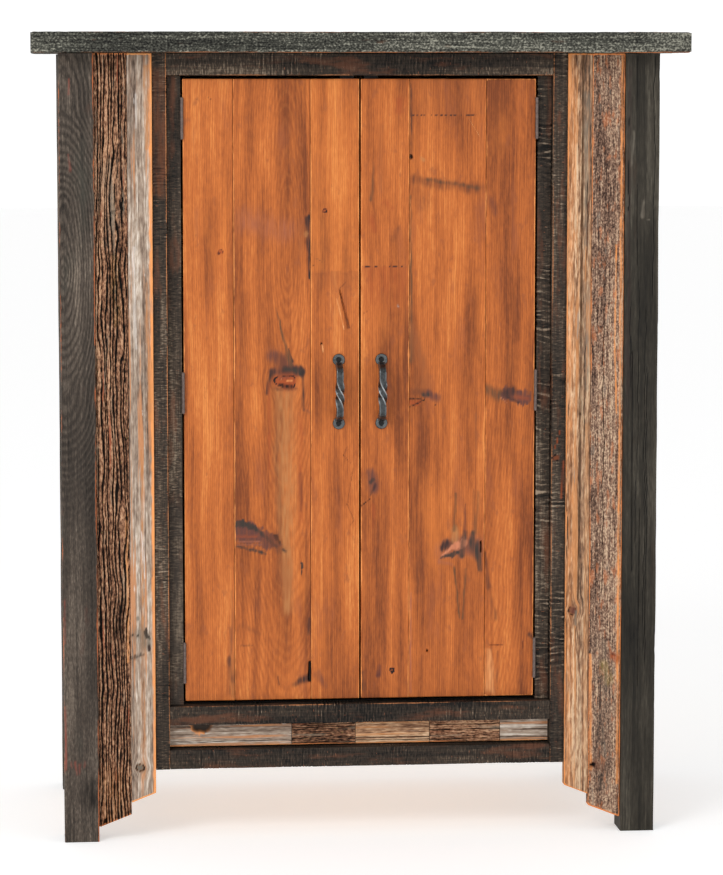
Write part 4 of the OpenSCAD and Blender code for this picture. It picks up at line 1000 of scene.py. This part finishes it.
doorFace = nodeBox("left_door_middle_plank")[0][1]
doors = {
    "relief": {"dent": (0.0005, 0.06), "bend": 0.005, "wear": 0.25, "toneNoise": 0.1, "ring": 0.00006,
               "wave": 0.012},
    "pitches": {"along": 0.0030, "-y": 0.0016, "other": 0.009},
    "ease": 0.0015,
    # worn, on each door plank: painted highlights along the front arrises, where the eased edges catch the
    # light
    "left_door_hinge_plank": {
        "shift": 0.06, "worn": {2: 0.55, 3: 0.3}, "heart": (0.13, 0.03, 0.2), "marks": [
        ("crack", -0.304, 1.393, -0.301, 1.389, 0.0009, 0.0007, "bark", 0.8),
        ("crack", -0.283, 1.395, -0.278, 1.391, 0.0009, 0.0007, "bark", 0.8),
        ("knot", -0.263, 1.108, -0.259, 1.108, 0.003, 0.003, "rust", 0.7),
        ("stain", -0.2595, 1.10, -0.258, 1.03, 0.003, 0.002, "rust", 0.4),
        ("crack", -0.312, 1.130, -0.307, 1.140, 0.0007, 0.0007, "bark", 0.6),
        ("stain", -0.242, 0.47, -0.242, 0.30, 0.004, 0.007, "umber", 0.6),
        ("stain", -0.246, 0.40, -0.247, 0.33, 0.004, 0.005, "plum", 0.35),
        ("stain", -0.246, 0.335, -0.244, 0.275, 0.007, 0.012, "sootAndShade", 0.5)]},
    "left_door_middle_plank": {
        "shift": -0.08, "worn": {2: 0.8}, "heart": (0.10, 0.13, 1.15), "marks": [
        ("stain", -0.215, 1.165, -0.14, 1.15, 0.032, 0.03, "haze", 0.5),
        ("stain", -0.097, 1.172, -0.094, 1.06, 0.007, 0.004, "sootAndShade", 0.9),
        ("stain", -0.1015, 1.141, -0.1015, 1.137, 0.0045, 0.003, "greyTan", 0.95),
        ("stain", -0.110, 1.15, -0.112, 1.10, 0.008, 0.006, "umber", 0.5),
        ("stain", -0.160, 0.912, -0.134, 0.893, 0.016, 0.015, "liver", 0.85),
        ("stain", -0.164, 0.884, -0.116, 0.882, 0.008, 0.010, "liver", 0.7),
        ("stain", -0.150, 0.905, -0.146, 0.885, 0.014, 0.018, "bark", 0.6),
        ("stain", -0.143, 0.884, -0.114, 0.884, 0.0100, 0.0100, "sootAndShade", 0.75),
        ("stain", -0.138, 0.887, -0.112, 0.881, 0.0065, 0.0080, "ink", 0.95),
        ("stain", -0.1755, 0.843, -0.165, 0.884, 0.0048, 0.0070, "sootAndShade", 0.85),
        ("stain", -0.127, 0.902, -0.134, 0.925, 0.0020, 0.0012, "sootAndShade", 0.8),
        ("stain", -0.142, 0.845, -0.137, 0.43, 0.026, 0.013, "greyTan", 0.6),
        ("stain", -0.171, 0.86, -0.171, 0.70, 0.004, 0.004, "rust", 0.5),
        ("stain", -0.113, 0.80, -0.112, 0.60, 0.006, 0.007, "rust", 0.5),
        ("stain", -0.109, 0.882, -0.1065, 0.812, 0.0042, 0.0034, "sootAndShade", 0.7),
        ("stain", -0.104, 0.809, -0.094, 0.806, 0.004, 0.004, "liver", 0.6),
        ("stain", -0.1585, 1.004, -0.130, 0.895, 0.0015, 0.005, "slate", 0.85),
        ("knot", -0.151, 0.865, -0.132, 0.864, 0.0100, 0.0116, "rust", 1.0),
        ("stain", -0.150, 0.869, -0.134, 0.872, 0.003, 0.003, "liver", 0.6),
        ("spot", -0.152, 0.859, -0.130, 0.857, 0.0028, 0.0052, "black", 1.0),
        ("crack", -0.148, 0.868, -0.127, 0.865, 0.0008, 0.0008, "glow", 0.8),
        ("stain", -0.162, 0.850, -0.118, 0.850, 0.004, 0.003, "bark", 0.6),
        ("spot", -0.236, 0.581, -0.170, 0.562, 0.0265, 0.0175, "liver", 1.0),
        ("spot", -0.236, 0.599, -0.198, 0.589, 0.0080, 0.0055, "ink", 1.0),
        ("stain", -0.200, 0.590, -0.158, 0.553, 0.0035, 0.0040, "ink", 0.9),
        ("spot", -0.160, 0.573, -0.153, 0.562, 0.0040, 0.0040, "black", 0.9),
        ("stain", -0.234, 0.573, -0.196, 0.572, 0.0022, 0.0022, "rust", 0.6),
        ("stain", -0.232, 0.563, -0.190, 0.562, 0.0014, 0.0014, "haze", 0.8),
        ("stain", -0.232, 0.556, -0.186, 0.556, 0.0012, 0.0012, "haze", 0.6),
        ("stain", -0.234, 0.554, -0.180, 0.540, 0.0025, 0.0040, "ink", 0.8),
        ("stain", -0.146, 0.546, -0.141, 0.544, 0.0030, 0.0030, "ink", 0.8),
        ("stain", -0.168, 0.567, -0.152, 0.545, 0.014, 0.009, "bark", 0.6),
        ("stain", -0.150, 0.52, -0.140, 0.48, 0.016, 0.016, "umber", 0.4),
        ("spot", -0.110, 0.520, -0.109, 0.513, 0.0038, 0.0030, "ink", 0.95),
        ("stain", -0.110, 0.507, -0.111, 0.497, 0.0018, 0.001, "sootAndShade", 0.8),
        ("stain", -0.111, 0.69, -0.111, 0.62, 0.005, 0.004, "bark", 0.5),
        ("stain", -0.222, 0.402, -0.190, 0.385, 0.008, 0.005, "bark", 0.45),
        ("stain", -0.225, 0.365, -0.205, 0.365, 0.0025, 0.002, "sootAndShade", 0.6),
        ("stain", -0.0955, 0.415, -0.0955, 0.385, 0.005, 0.005, "sootAndShade", 0.7),
        ("stain", -0.122, 0.288, -0.098, 0.303, 0.009, 0.013, "sootAndShade", 0.75),
        ("stain", -0.156, 0.305, -0.154, 0.288, 0.0020, 0.0013, "sootAndShade", 0.75),
        ("hole", -0.0955, 0.330, -0.0955, 0.297, 0.0033, 0.0036, "black", 1.0)]},
    "left_door_meeting_plank": {
        "shift": 0.02, "worn": {2: 0.75, 3: 0.8}, "heart": (-0.1, 0.03, 0.2), "marks": [
        ("block", -0.05, 1.0705, -0.05, 1.9, 0.01, 0.01, "straw", 0.3),
        ("block", -0.05, 1.0705, -0.05, 1.00, 0.01, 0.01, "umber", 0.4),
        ("knot", -0.067, 1.184, -0.065, 1.184, 0.0028, 0.0028, "rust", 0.8),
        ("crack", -0.088, 1.083, -0.086, 1.081, 0.0014, 0.001, "black", 0.9),
        ("stain", -0.083, 1.095, -0.070, 1.088, 0.0015, 0.001, "bark", 0.7),
        ("stain", -0.060, 1.110, -0.052, 1.102, 0.0015, 0.001, "bark", 0.5),
        ("crack", -0.026, 1.051, -0.040, 1.036, 0.0009, 0.0009, "bark", 0.75),
        ("crack", -0.038, 1.034, -0.021, 0.965, 0.0010, 0.0030, "bark", 0.75),
        ("stain", -0.044, 1.020, -0.030, 0.962, 0.0014, 0.0014, "pale", 0.7),
        ("hole", -0.073, 0.936, -0.073, 0.935, 0.0017, 0.0017, "black", 1.0),
        ("stain", -0.071, 0.933, -0.069, 0.918, 0.0016, 0.0010, "pale", 0.9),
        ("crack", -0.024, 0.741, -0.031, 0.724, 0.0010, 0.0010, "bark", 0.7),
        ("crack", -0.031, 0.724, -0.018, 0.709, 0.0010, 0.0007, "bark", 0.7),
        ("crack", -0.013, 0.700, -0.024, 0.631, 0.0007, 0.0010, "bark", 0.6),
        ("crack", -0.024, 0.631, -0.011, 0.600, 0.0010, 0.0008, "bark", 0.6),
        ("stain", -0.082, 0.306, -0.066, 0.286, 0.010, 0.006, "liver", 0.5),
        ("crack", -0.011, 0.600, -0.020, 0.590, 0.0008, 0.0007, "bark", 0.5)]},
    "right_door_meeting_plank": {
        "shift": -0.06, "worn": {2: 0.75, 3: 0.75}, "heart": (0.16, 0.03, 0.2), "marks": [
        ("block", 0.05, 1.0785, 0.05, 0.93, 0.01, 0.01, "rust", 0.45),
        ("row", 0.010, 1.0785, 0.088, 1.0785, 0.0012, 0.0012, "sootAndShade", 0.95),
        ("stain", 0.021, 1.175, 0.030, 1.15, 0.008, 0.010, "rust", 0.5),
        ("stain", 0.071, 1.150, 0.062, 1.13, 0.006, 0.008, "bark", 0.45),
        ("stain", 0.045, 1.200, 0.060, 1.19, 0.008, 0.006, "rust", 0.45),
        ("crack", 0.004, 0.990, 0.020, 0.999, 0.0008, 0.0005, "bark", 0.6),
        ("stain", 0.071, 1.005, 0.073, 1.003, 0.0020, 0.0016, "ash", 0.8),
        ("stain", 0.026, 1.275, 0.022, 1.205, 0.002, 0.006, "slate", 0.55),
        ("stain", 0.040, 1.340, 0.038, 1.22, 0.006, 0.006, "umber", 0.4),
        ("stain", 0.073, 1.388, 0.073, 1.370, 0.012, 0.010, "rust", 0.65),
        ("stain", 0.019, 0.690, 0.026, 0.660, 0.011, 0.013, "liver", 0.85),
        ("stain", 0.026, 0.677, 0.020, 0.672, 0.0040, 0.0040, "ink", 0.85),
        ("stain", 0.029, 0.668, 0.020, 0.648, 0.003, 0.002, "sootAndShade", 0.6),
        ("crack", 0.0025, 0.628, 0.022, 0.643, 0.0011, 0.0007, "black", 1.0),
        ("stain", 0.025, 0.630, 0.026, 0.585, 0.006, 0.002, "rust", 0.6),
        ("stain", 0.037, 0.324, 0.036, 0.306, 0.004, 0.008, "plum", 0.9),
        ("stain", 0.005, 0.310, 0.007, 0.280, 0.004, 0.006, "sootAndShade", 0.65),
        ("knot", 0.0600, 0.314, 0.0606, 0.3135, 0.0036, 0.0036, "bark", 1.0)]},
    "right_door_middle_plank": {
        "shift": -0.07, "worn": {2: 0.4, 3: 0.5}, "heart": (0.19, 0.05, 0.1), "marks": [
        ("block", 0.16, 1.3615, 0.16, 1.9, 0.01, 0.01, "umber", 0.3),
        ("row", 0.099, 1.3615, 0.217, 1.3608, 0.0012, 0.0014, "sootAndShade", 0.9),
        ("crack", 0.205, 1.355, 0.224, 1.322, 0.0007, 0.0007, "pale", 0.8),
        ("hole", 0.0955, 1.285, 0.0955, 1.283, 0.0038, 0.0038, "black", 1.0),
        ("stain", 0.116, 1.280, 0.119, 1.278, 0.0050, 0.005, "greyTan", 0.8),
        ("stain", 0.100, 1.240, 0.120, 1.200, 0.020, 0.022, "bark", 0.4),
        ("stain", 0.097, 1.241, 0.225, 1.222, 0.010, 0.014, "bark", 0.6),
        ("stain", 0.125, 1.242, 0.224, 1.226, 0.0035, 0.0045, "slate", 0.55),
        ("stain", 0.0955, 1.42, 0.0965, 1.29, 0.002, 0.003, "sootAndShade", 0.6),
        ("stain", 0.0945, 1.210, 0.0965, 0.900, 0.003, 0.006, "slate", 0.7),
        ("stain", 0.100, 0.970, 0.120, 0.850, 0.009, 0.018, "umber", 0.7),
        ("stain", 0.100, 0.845, 0.130, 0.840, 0.008, 0.006, "bark", 0.6),
        ("stain", 0.125, 0.838, 0.148, 0.829, 0.007, 0.009, "liver", 0.75),
        ("spot", 0.0930, 0.8222, 0.112, 0.8222, 0.0080, 0.0050, "rust", 0.8),
        ("spot", 0.0920, 0.8310, 0.121, 0.8280, 0.0016, 0.0022, "black", 0.9),
        ("spot", 0.0920, 0.8140, 0.121, 0.8266, 0.0020, 0.0018, "black", 0.9),
        ("stain", 0.118, 0.838, 0.128, 0.836, 0.0045, 0.0050, "ink", 0.9),
        ("spot", 0.1415, 0.8177, 0.1425, 0.8177, 0.0016, 0.0016, "black", 0.9),
        ("stain", 0.160, 0.540, 0.212, 0.552, 0.020, 0.026, "haze", 0.55),
        ("stain", 0.165, 0.552, 0.225, 0.545, 0.010, 0.020, "liver", 0.55),
        ("stain", 0.180, 0.580, 0.180, 0.560, 0.008, 0.008, "greyTan", 0.7),
        ("stain", 0.157, 0.546, 0.168, 0.557, 0.0070, 0.0070, "sootAndShade", 0.95),
        ("spot", 0.154, 0.533, 0.198, 0.556, 0.0026, 0.0085, "pink", 0.9),
        ("spot", 0.153, 0.5275, 0.186, 0.5350, 0.0042, 0.0050, "ink", 1.0),
        ("stain", 0.200, 0.574, 0.194, 0.530, 0.0050, 0.0065, "ink", 0.85),
        ("stain", 0.215, 0.573, 0.216, 0.560, 0.0050, 0.0050, "ink", 0.8),
        ("stain", 0.217, 0.552, 0.2285, 0.504, 0.0115, 0.0060, "ink", 0.95),
        ("hole", 0.2300, 0.558, 0.2300, 0.538, 0.0012, 0.0012, "black", 1.0),
        ("stain", 0.182, 0.650, 0.179, 0.580, 0.0035, 0.0040, "slate", 0.7),
        ("stain", 0.200, 0.628, 0.199, 0.578, 0.0015, 0.0040, "plum", 0.75),
        ("stain", 0.222, 0.650, 0.220, 0.575, 0.0080, 0.0060, "slate", 0.45),
        ("stain", 0.179, 0.510, 0.190, 0.410, 0.0028, 0.0020, "slate", 0.75),
        ("stain", 0.201, 0.505, 0.195, 0.410, 0.0028, 0.0020, "slate", 0.7),
        ("stain", 0.150, 0.520, 0.175, 0.515, 0.006, 0.004, "haze", 0.5),
        ("stain", 0.113, 0.515, 0.112, 0.465, 0.015, 0.010, "bark", 0.4),
        ("stain", 0.0965, 0.46, 0.0965, 0.27, 0.0025, 0.003, "haze", 0.7),
        ("stain", 0.219, 0.800, 0.220, 0.735, 0.0025, 0.002, "umber", 0.7),
        ("hole", 0.128, 0.350, 0.128, 0.3495, 0.0021, 0.0021, "black", 1.0)]},
    "right_door_hinge_plank": {
        "shift": -0.12, "worn": {2: 0.45, 3: 0.75}, "endWear": 0.5, "heart": (-0.03, 0.10, 1.30), "marks": [
        ("stain", 0.243, 1.205, 0.256, 1.175, 0.012, 0.010, "plum", 0.55),
        ("stain", 0.238, 0.842, 0.262, 0.838, 0.014, 0.015, "slate", 0.75),
        ("spot", 0.281, 0.838, 0.314, 0.829, 0.0160, 0.0130, "liver", 1.0),
        ("stain", 0.276, 0.840, 0.292, 0.845, 0.0085, 0.0080, "sootAndShade", 0.95),
        ("stain", 0.278, 0.832, 0.300, 0.821, 0.0030, 0.0030, "sootAndShade", 0.85),
        ("stain", 0.296, 0.832, 0.318, 0.828, 0.0050, 0.0050, "rust", 0.5),
        ("crack", 0.267, 0.830, 0.282, 0.818, 0.0006, 0.0006, "pink", 0.8),
        ("stain", 0.3085, 0.751, 0.3085, 0.745, 0.004, 0.004, "umber", 0.6),
        ("stain", 0.238, 0.535, 0.247, 0.470, 0.004, 0.006, "bark", 0.85),
        ("stain", 0.246, 0.470, 0.256, 0.410, 0.006, 0.008, "bark", 0.5),
        ("crack", 0.247, 0.359, 0.272, 0.358, 0.0016, 0.0010, "plum", 0.75),
        ("stain", 0.244, 0.350, 0.249, 0.270, 0.006, 0.013, "pale", 0.6),
        ("stain", 0.264, 0.345, 0.262, 0.275, 0.003, 0.003, "bark", 0.5),
        ("crack", 0.311, 0.366, 0.311, 0.352, 0.0012, 0.0006, "plum", 0.8),
        ("stain", 0.324, 0.378, 0.331, 0.370, 0.006, 0.005, "sootAndShade", 0.75)]},
}


def makeDoors(s):
    for seed, node in enumerate(n for n in s if n.endswith("_plank")):
        low, high = nodeBox(node)
        makeBoard(pieceName(node), node, low, high, "z", "orangePine", {**s["relief"], **s[node]},
                  s["pitches"], ease=s["ease"], chip=0.7, seed=61 + seed)


makeDoors(doors)
print("door planks made")

inside = {
    "relief": {"dent": (0.0004, 0.08), "ring": 0.0001, "wave": 0.02, "wear": 0.2},
    "pitches": {"along": 0.012, "other": 0.008},
    "battens": {"along": 0.006, "other": 0.004},
    # each node, the axis its boards run along, and the axis they are numbered along
    "hidden": (("back_rails", "x", 2), ("floor_cleats", "y", 0), ("shelf_cleats", "y", 0),
               ("plank_backers", "z", 0), ("front_stretcher", "x", 0), ("apron_backer", "x", 0)),
}


def makeInside(s):
    for side in ("left", "right"):
        makeBoards(side + "DoorBatten", side + "_door_battens", 2, "x", "orangePine", s["relief"],
                   s["battens"], 0.0015, 71)
    for place, (node, along, order) in enumerate(s["hidden"]):
        makeBoards(pieceName(node), node, order, along, "plainPine", s["relief"], s["pitches"],
                   0.001, 81 + 5 * place)


makeInside(inside)

sides = {
    "finishes": ("silverGrey", "speckledBrown", "tanWeathered", "ridgedBrown"),
    "relief": {"crumble": 0.0008, "dent": (0.001, 0.05), "cracks": 6, "wear": 0.5,
               "toneNoise": 0.2, "endWear": 0.4},
    "ridges": (0.0030, 0.0092, 0.004),
    "pitches": {"along": 0.008, "+x": 0.0024, "-x": 0.0024, "other": 0.008},
    "railRelief": {"saw": (0.0010, 0.0066, 0.5), "dent": (0.001, 0.04), "wear": 0.6, "rubbed": 0.25},
    "railPitches": {"along": 0.003, "+x": 0.004, "-x": 0.004, "other": 0.008},
    "backRelief": {"saw": (0.0004, 0.006, 0.15), "dent": (0.0006, 0.06), "wear": 0.3, "ring": 0.0001,
                   "wave": 0.02},
    "backPitches": {"along": 0.013, "+y": 0.008, "other": 0.012},
    "backJoin": 0.0008,         # the back boards are drawn this much wider at both edges
}


def makeSides(s):
    for flip, side in enumerate(("left", "right")):
        pitches = {**s["pitches"], ("+x" if side == "left" else "-x"): 0.006}
        for i, (low, high) in enumerate(solidBoxes(side + "_side_planks", 1)):
            finish = s["finishes"][(i + 2 * flip) % 4]
            relief = {**s["relief"], **({"ridges": s["ridges"]} if finish == "ridgedBrown" else {})}
            makeBoard(f"{side}SidePlank{i + 1}", side + "_side_planks", low, high, "z", finish, relief,
                      pitches, ease=0.0016, seed=101 + 7 * flip + i)
        makeBoards(side + "SideRail", side + "_side_rails", 2, "y", "sawnDark", s["railRelief"],
                   s["railPitches"], 0.0016, 121 + 3 * flip)
    join = np.array([s["backJoin"], 0, 0])
    for i, (low, high) in enumerate(solidBoxes("back_boards", 0)):
        makeBoard(f"backBoard{i + 1}", "back_boards", low - join, high + join, "z", "plainPine",
                  s["backRelief"], s["backPitches"], ease=0.001, seed=131 + i)


makeSides(sides)
print("boards made:", boardCount)


# metal

# rubbed corners of the iron, and a painted highlight where the bar's twist catches the light, go towards this
# colour
rubbedMetalAndHighlight = tint(196, 202, 204)


def metalMaterial(name, color, dark, metallic, rough, bump):
    # colour and roughness wander by noise on the piece's own place, with fine hammered or brushed relief
    material, tree, shader = startMaterial(name)
    place = objectPlace(tree)
    cloud = speckle(tree, place, (160, 160, 160), 3, 0.6)
    grit = speckle(tree, place, (1400, 1400, 1400), 2, 0.6)
    mottle = addScaled(tree, sums(tree, "MULTIPLY", cloud, 0.7), grit, 0.3)
    shade = ramp(tree, mottle, [(0.3, dark), (0.7, color)])
    uneven = fade(tree, cloud, 0.3, 0.6, 0.5, 1.0)
    # the edge attribute lightens the pulls' corners and pad rims: rubbed iron, and painted highlights
    rubbed = sums(tree, "MULTIPLY", readAttribute(tree, "edge", "Fac"), uneven)
    plug(tree, blend(tree, rubbed, shade, rubbedMetalAndHighlight), shader.inputs["Base Color"])
    plug(tree, fade(tree, cloud, 0.3, 0.7, rough - 0.1, rough + 0.12), shader.inputs["Roughness"])
    shader.inputs["Metallic"].default_value = metallic
    addBump(tree, shader, addScaled(tree, cloud, grit, 0.25), bump, 0.0008)
    return material


metals = {
    "iron": metalMaterial("blackIron", tint(84, 87, 88), tint(40, 42, 43), 0.85, 0.34, 0.3),
    "steel": metalMaterial("dullSteel", tint(128, 112, 106), tint(74, 62, 56), 0.6, 0.45, 0.12),
    "screw": metalMaterial("blackScrew", tint(34, 34, 34), tint(14, 14, 14), 0.6, 0.5, 0.15),
    "rod": metalMaterial("rodSteel", tint(176, 174, 170), tint(140, 138, 134), 0.9, 0.25, 0.05),
    "case": metalMaterial("catchCase", tint(44, 38, 34), tint(28, 24, 22), 0.0, 0.5, 0.05),
}

pull = {
    "bar": 0.013,               # the square bar's width
    "pad": 0.0115,              # the round pads' radius
    "span": 0.1195,             # between the pads' screws
    "standoff": 0.027, "rootDepth": 0.003, "bendLength": 0.020,
    "twist": 0.048, "turn": math.pi, "twistShift": {"left": -0.004, "right": -0.001},
    "cornerReach": 1.36,        # how far the bar's corners stand out, over half its width
    "around": 48, "rings": 220,
}


def pullBar(s, side):
    # a round-cornered square carried along the bar's line, turning evenly over the twisted stretch
    u = np.linspace(0, 1, s["rings"])
    reach = s["span"] / 2 - s["pad"] * 0.55
    z = reach - 2 * reach * u
    rise = step(reach - np.abs(z), 0, s["bendLength"])
    y = -(s["rootDepth"] + (s["standoff"] - s["rootDepth"]) * np.sin(rise * math.pi / 2))
    share = np.clip(0.5 - (z - s["twistShift"][side]) / s["twist"], 0, 1)
    turn = -s["turn"] * (share - 0.35 * np.sin(2 * np.pi * share) / (2 * np.pi))
    swell = 1 - 0.08 * step(np.abs(z) - 0.04, 0, 0.02) + 0.015 * noise(z / 0.006, 0 * z, 7)
    angle = np.linspace(0, 2 * np.pi, s["around"], endpoint=False) + np.pi / s["around"]
    square = s["bar"] / 2 / np.maximum(np.abs(np.cos(angle)), np.abs(np.sin(angle)))
    radius = np.minimum(square, s["bar"] / 2 * s["cornerReach"])[None, :] * swell[:, None]
    dy, dz = np.gradient(y), np.gradient(z)
    length = np.hypot(dy, dz)
    ty, tz = dy / length, dz / length
    # lightening strongest along the twist: rubbed iron and a painted highlight on the corners catching the
    # light
    rubbed = (0.3 + 0.7 * np.sin(np.pi * share)) * (0.8 + 0.2 * noise(z / 0.004, 0 * z, 17))
    edge = step(radius / s["bar"] * 2 / swell[:, None], 1.14, 1.34) * rubbed[:, None]
    across = radius * np.cos(angle[None, :] + turn[:, None])
    out = radius * np.sin(angle[None, :] + turn[:, None])
    return np.stack([across, y[:, None] + out * tz[:, None], z[:, None] - out * ty[:, None]], -1), edge


def padRings(s, up):
    # a lathe profile about the screw's line: flat back, worn rim, shallow dish
    profile = np.array([[0.0005, 0.0], [0.0112, 0.0], [0.0115, 0.0008], [0.0114, 0.0022], [0.0104, 0.0032],
                        [0.0082, 0.0036], [0.0058, 0.0032], [0.0046, 0.0024], [0.0005, 0.0021]])
    fine = np.linspace(0, len(profile) - 1, 33)
    r = np.interp(fine, np.arange(len(profile)), profile[:, 0]) * s["pad"] / profile[:, 0].max()
    d = np.interp(fine, np.arange(len(profile)), profile[:, 1])
    angle = np.linspace(0, 2 * np.pi, 48, endpoint=False)
    wobble = 1 + 0.02 * noise(3 * np.cos(angle), 3 * np.sin(angle), 5 if up > 0 else 9)
    x = r[:, None] * (np.cos(angle) * wobble)[None, :]
    z = up * s["span"] / 2 + r[:, None] * (np.sin(angle) * wobble)[None, :]
    y = -np.broadcast_to(d[:, None], x.shape)
    # the dish's raised ring is faintly lightened as a painted highlight
    return np.stack([x, y, z], -1), 0.12 * step(d, 0.0026, 0.0034)[:, None] * np.ones_like(x)


def makePulls(s):
    for side in ("left", "right"):
        low, high = nodeBox(side + "_pull")
        at = np.array([(low[0] + high[0]) / 2, doorFace, (low[2] + high[2]) / 2])
        parts = {"Bar": pullBar(s, side), "PadTop": padRings(s, 1), "PadBottom": padRings(s, -1)}
        for part, (points, edge) in parts.items():
            name = side + "Pull" + part
            mesh = gridMesh(name, points + at)
            mesh.polygons.foreach_set("material_index", np.zeros(len(mesh.polygons), np.int32))
            setAttribute(mesh, "edge", "FLOAT", edge)
            placePiece(name, mesh, side + "_door", [side + "_pull"], [metals["iron"]])


makePulls(pull)

cadFinishes = {
    "steel": ("hinge_frame_leaves", "hinge_pins", "hinge_frame_screws", "top_fixing_screws",
              "left_door_leaves", "left_door_leaf_screws", "left_batten_screws",
              "right_door_leaves", "right_door_leaf_screws", "right_batten_screws"),
    "rod": ("hanging_rod", "rod_sockets", "left_strike_plate", "right_strike_plate"),
    "case": ("catch_magnets",),
    "screw": ("left_pull_screws", "right_pull_screws"),
}


def finishNode(node, material):
    slots = frame["nodes"][node].data.materials
    slots.clear()
    slots.append(material)


for metal, nodes in cadFinishes.items():
    for node in nodes:
        finishNode(node, metals[metal])


def makeShelves():
    # the two notched shelves keep their CAD shape, and take a finish on the piece's own place. A dark strip
    # along the front edge is painted shade, standing for the shadow seen through the gap under the doors
    material, tree, shader = startMaterial("shelfPine")
    place = objectPlace(tree)
    streak = speckle(tree, place, (4, 90, 60), 4, 0.6, 0.4)
    fibre = speckle(tree, place, (20, 900, 900), 2)
    shade = addScaled(tree, sums(tree, "MULTIPLY", streak, 0.75), fibre, 0.25)
    # the floor's front 12 mm is painted the frame's darkest colour: painted shade for the gap under the doors
    lip = nodeBox("cabinet_floor")[0][1] + 0.012
    paintedShadeStrip = fade(tree, splitVector(tree, place)[1], lip, lip + 0.001, 1.0, 0.0)
    pine = ramp(tree, shade, finishes["plainPine"]["stops"])
    plug(tree, blend(tree, paintedShadeStrip, pine, finishes["sawnDark"]["stops"][0][1]), shader.inputs["Base Color"])
    shader.inputs["Roughness"].default_value = 0.6
    addBump(tree, shader, fibre, 0.2, 0.001)
    for node in ("cabinet_floor", "hat_shelf"):
        finishNode(node, material)


makeShelves()
print("metal and shelves finished")


def makeFloor(s):
    mesh = bpy.data.meshes.new("studioFloor")
    half = 30.0
    corners = [(-half, -half, 0), (half, -half, 0), (half, half, 0), (-half, half, 0)]
    mesh.from_pydata(corners, [], [(0, 1, 2, 3)])
    floor = bpy.data.objects.new("studioFloor", mesh)
    bpy.context.scene.collection.objects.link(floor)
    material, _, shader = startMaterial("paleFloor")
    shader.inputs["Base Color"].default_value = (*s["floorColor"], 1)
    shader.inputs["Emission Color"].default_value = (1, 1, 1, 1)
    shader.inputs["Emission Strength"].default_value = s["floorGlow"]
    shader.inputs["Roughness"].default_value = 0.8
    mesh.materials.append(material)


makeFloor(studio)

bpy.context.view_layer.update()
drawn = [o for o in bpy.data.objects if o.type == "MESH" and not o.hide_render]
triangles = sum(len(p.vertices) - 2 for o in drawn for p in o.data.polygons)
print("scene built:", triangles, "triangles")
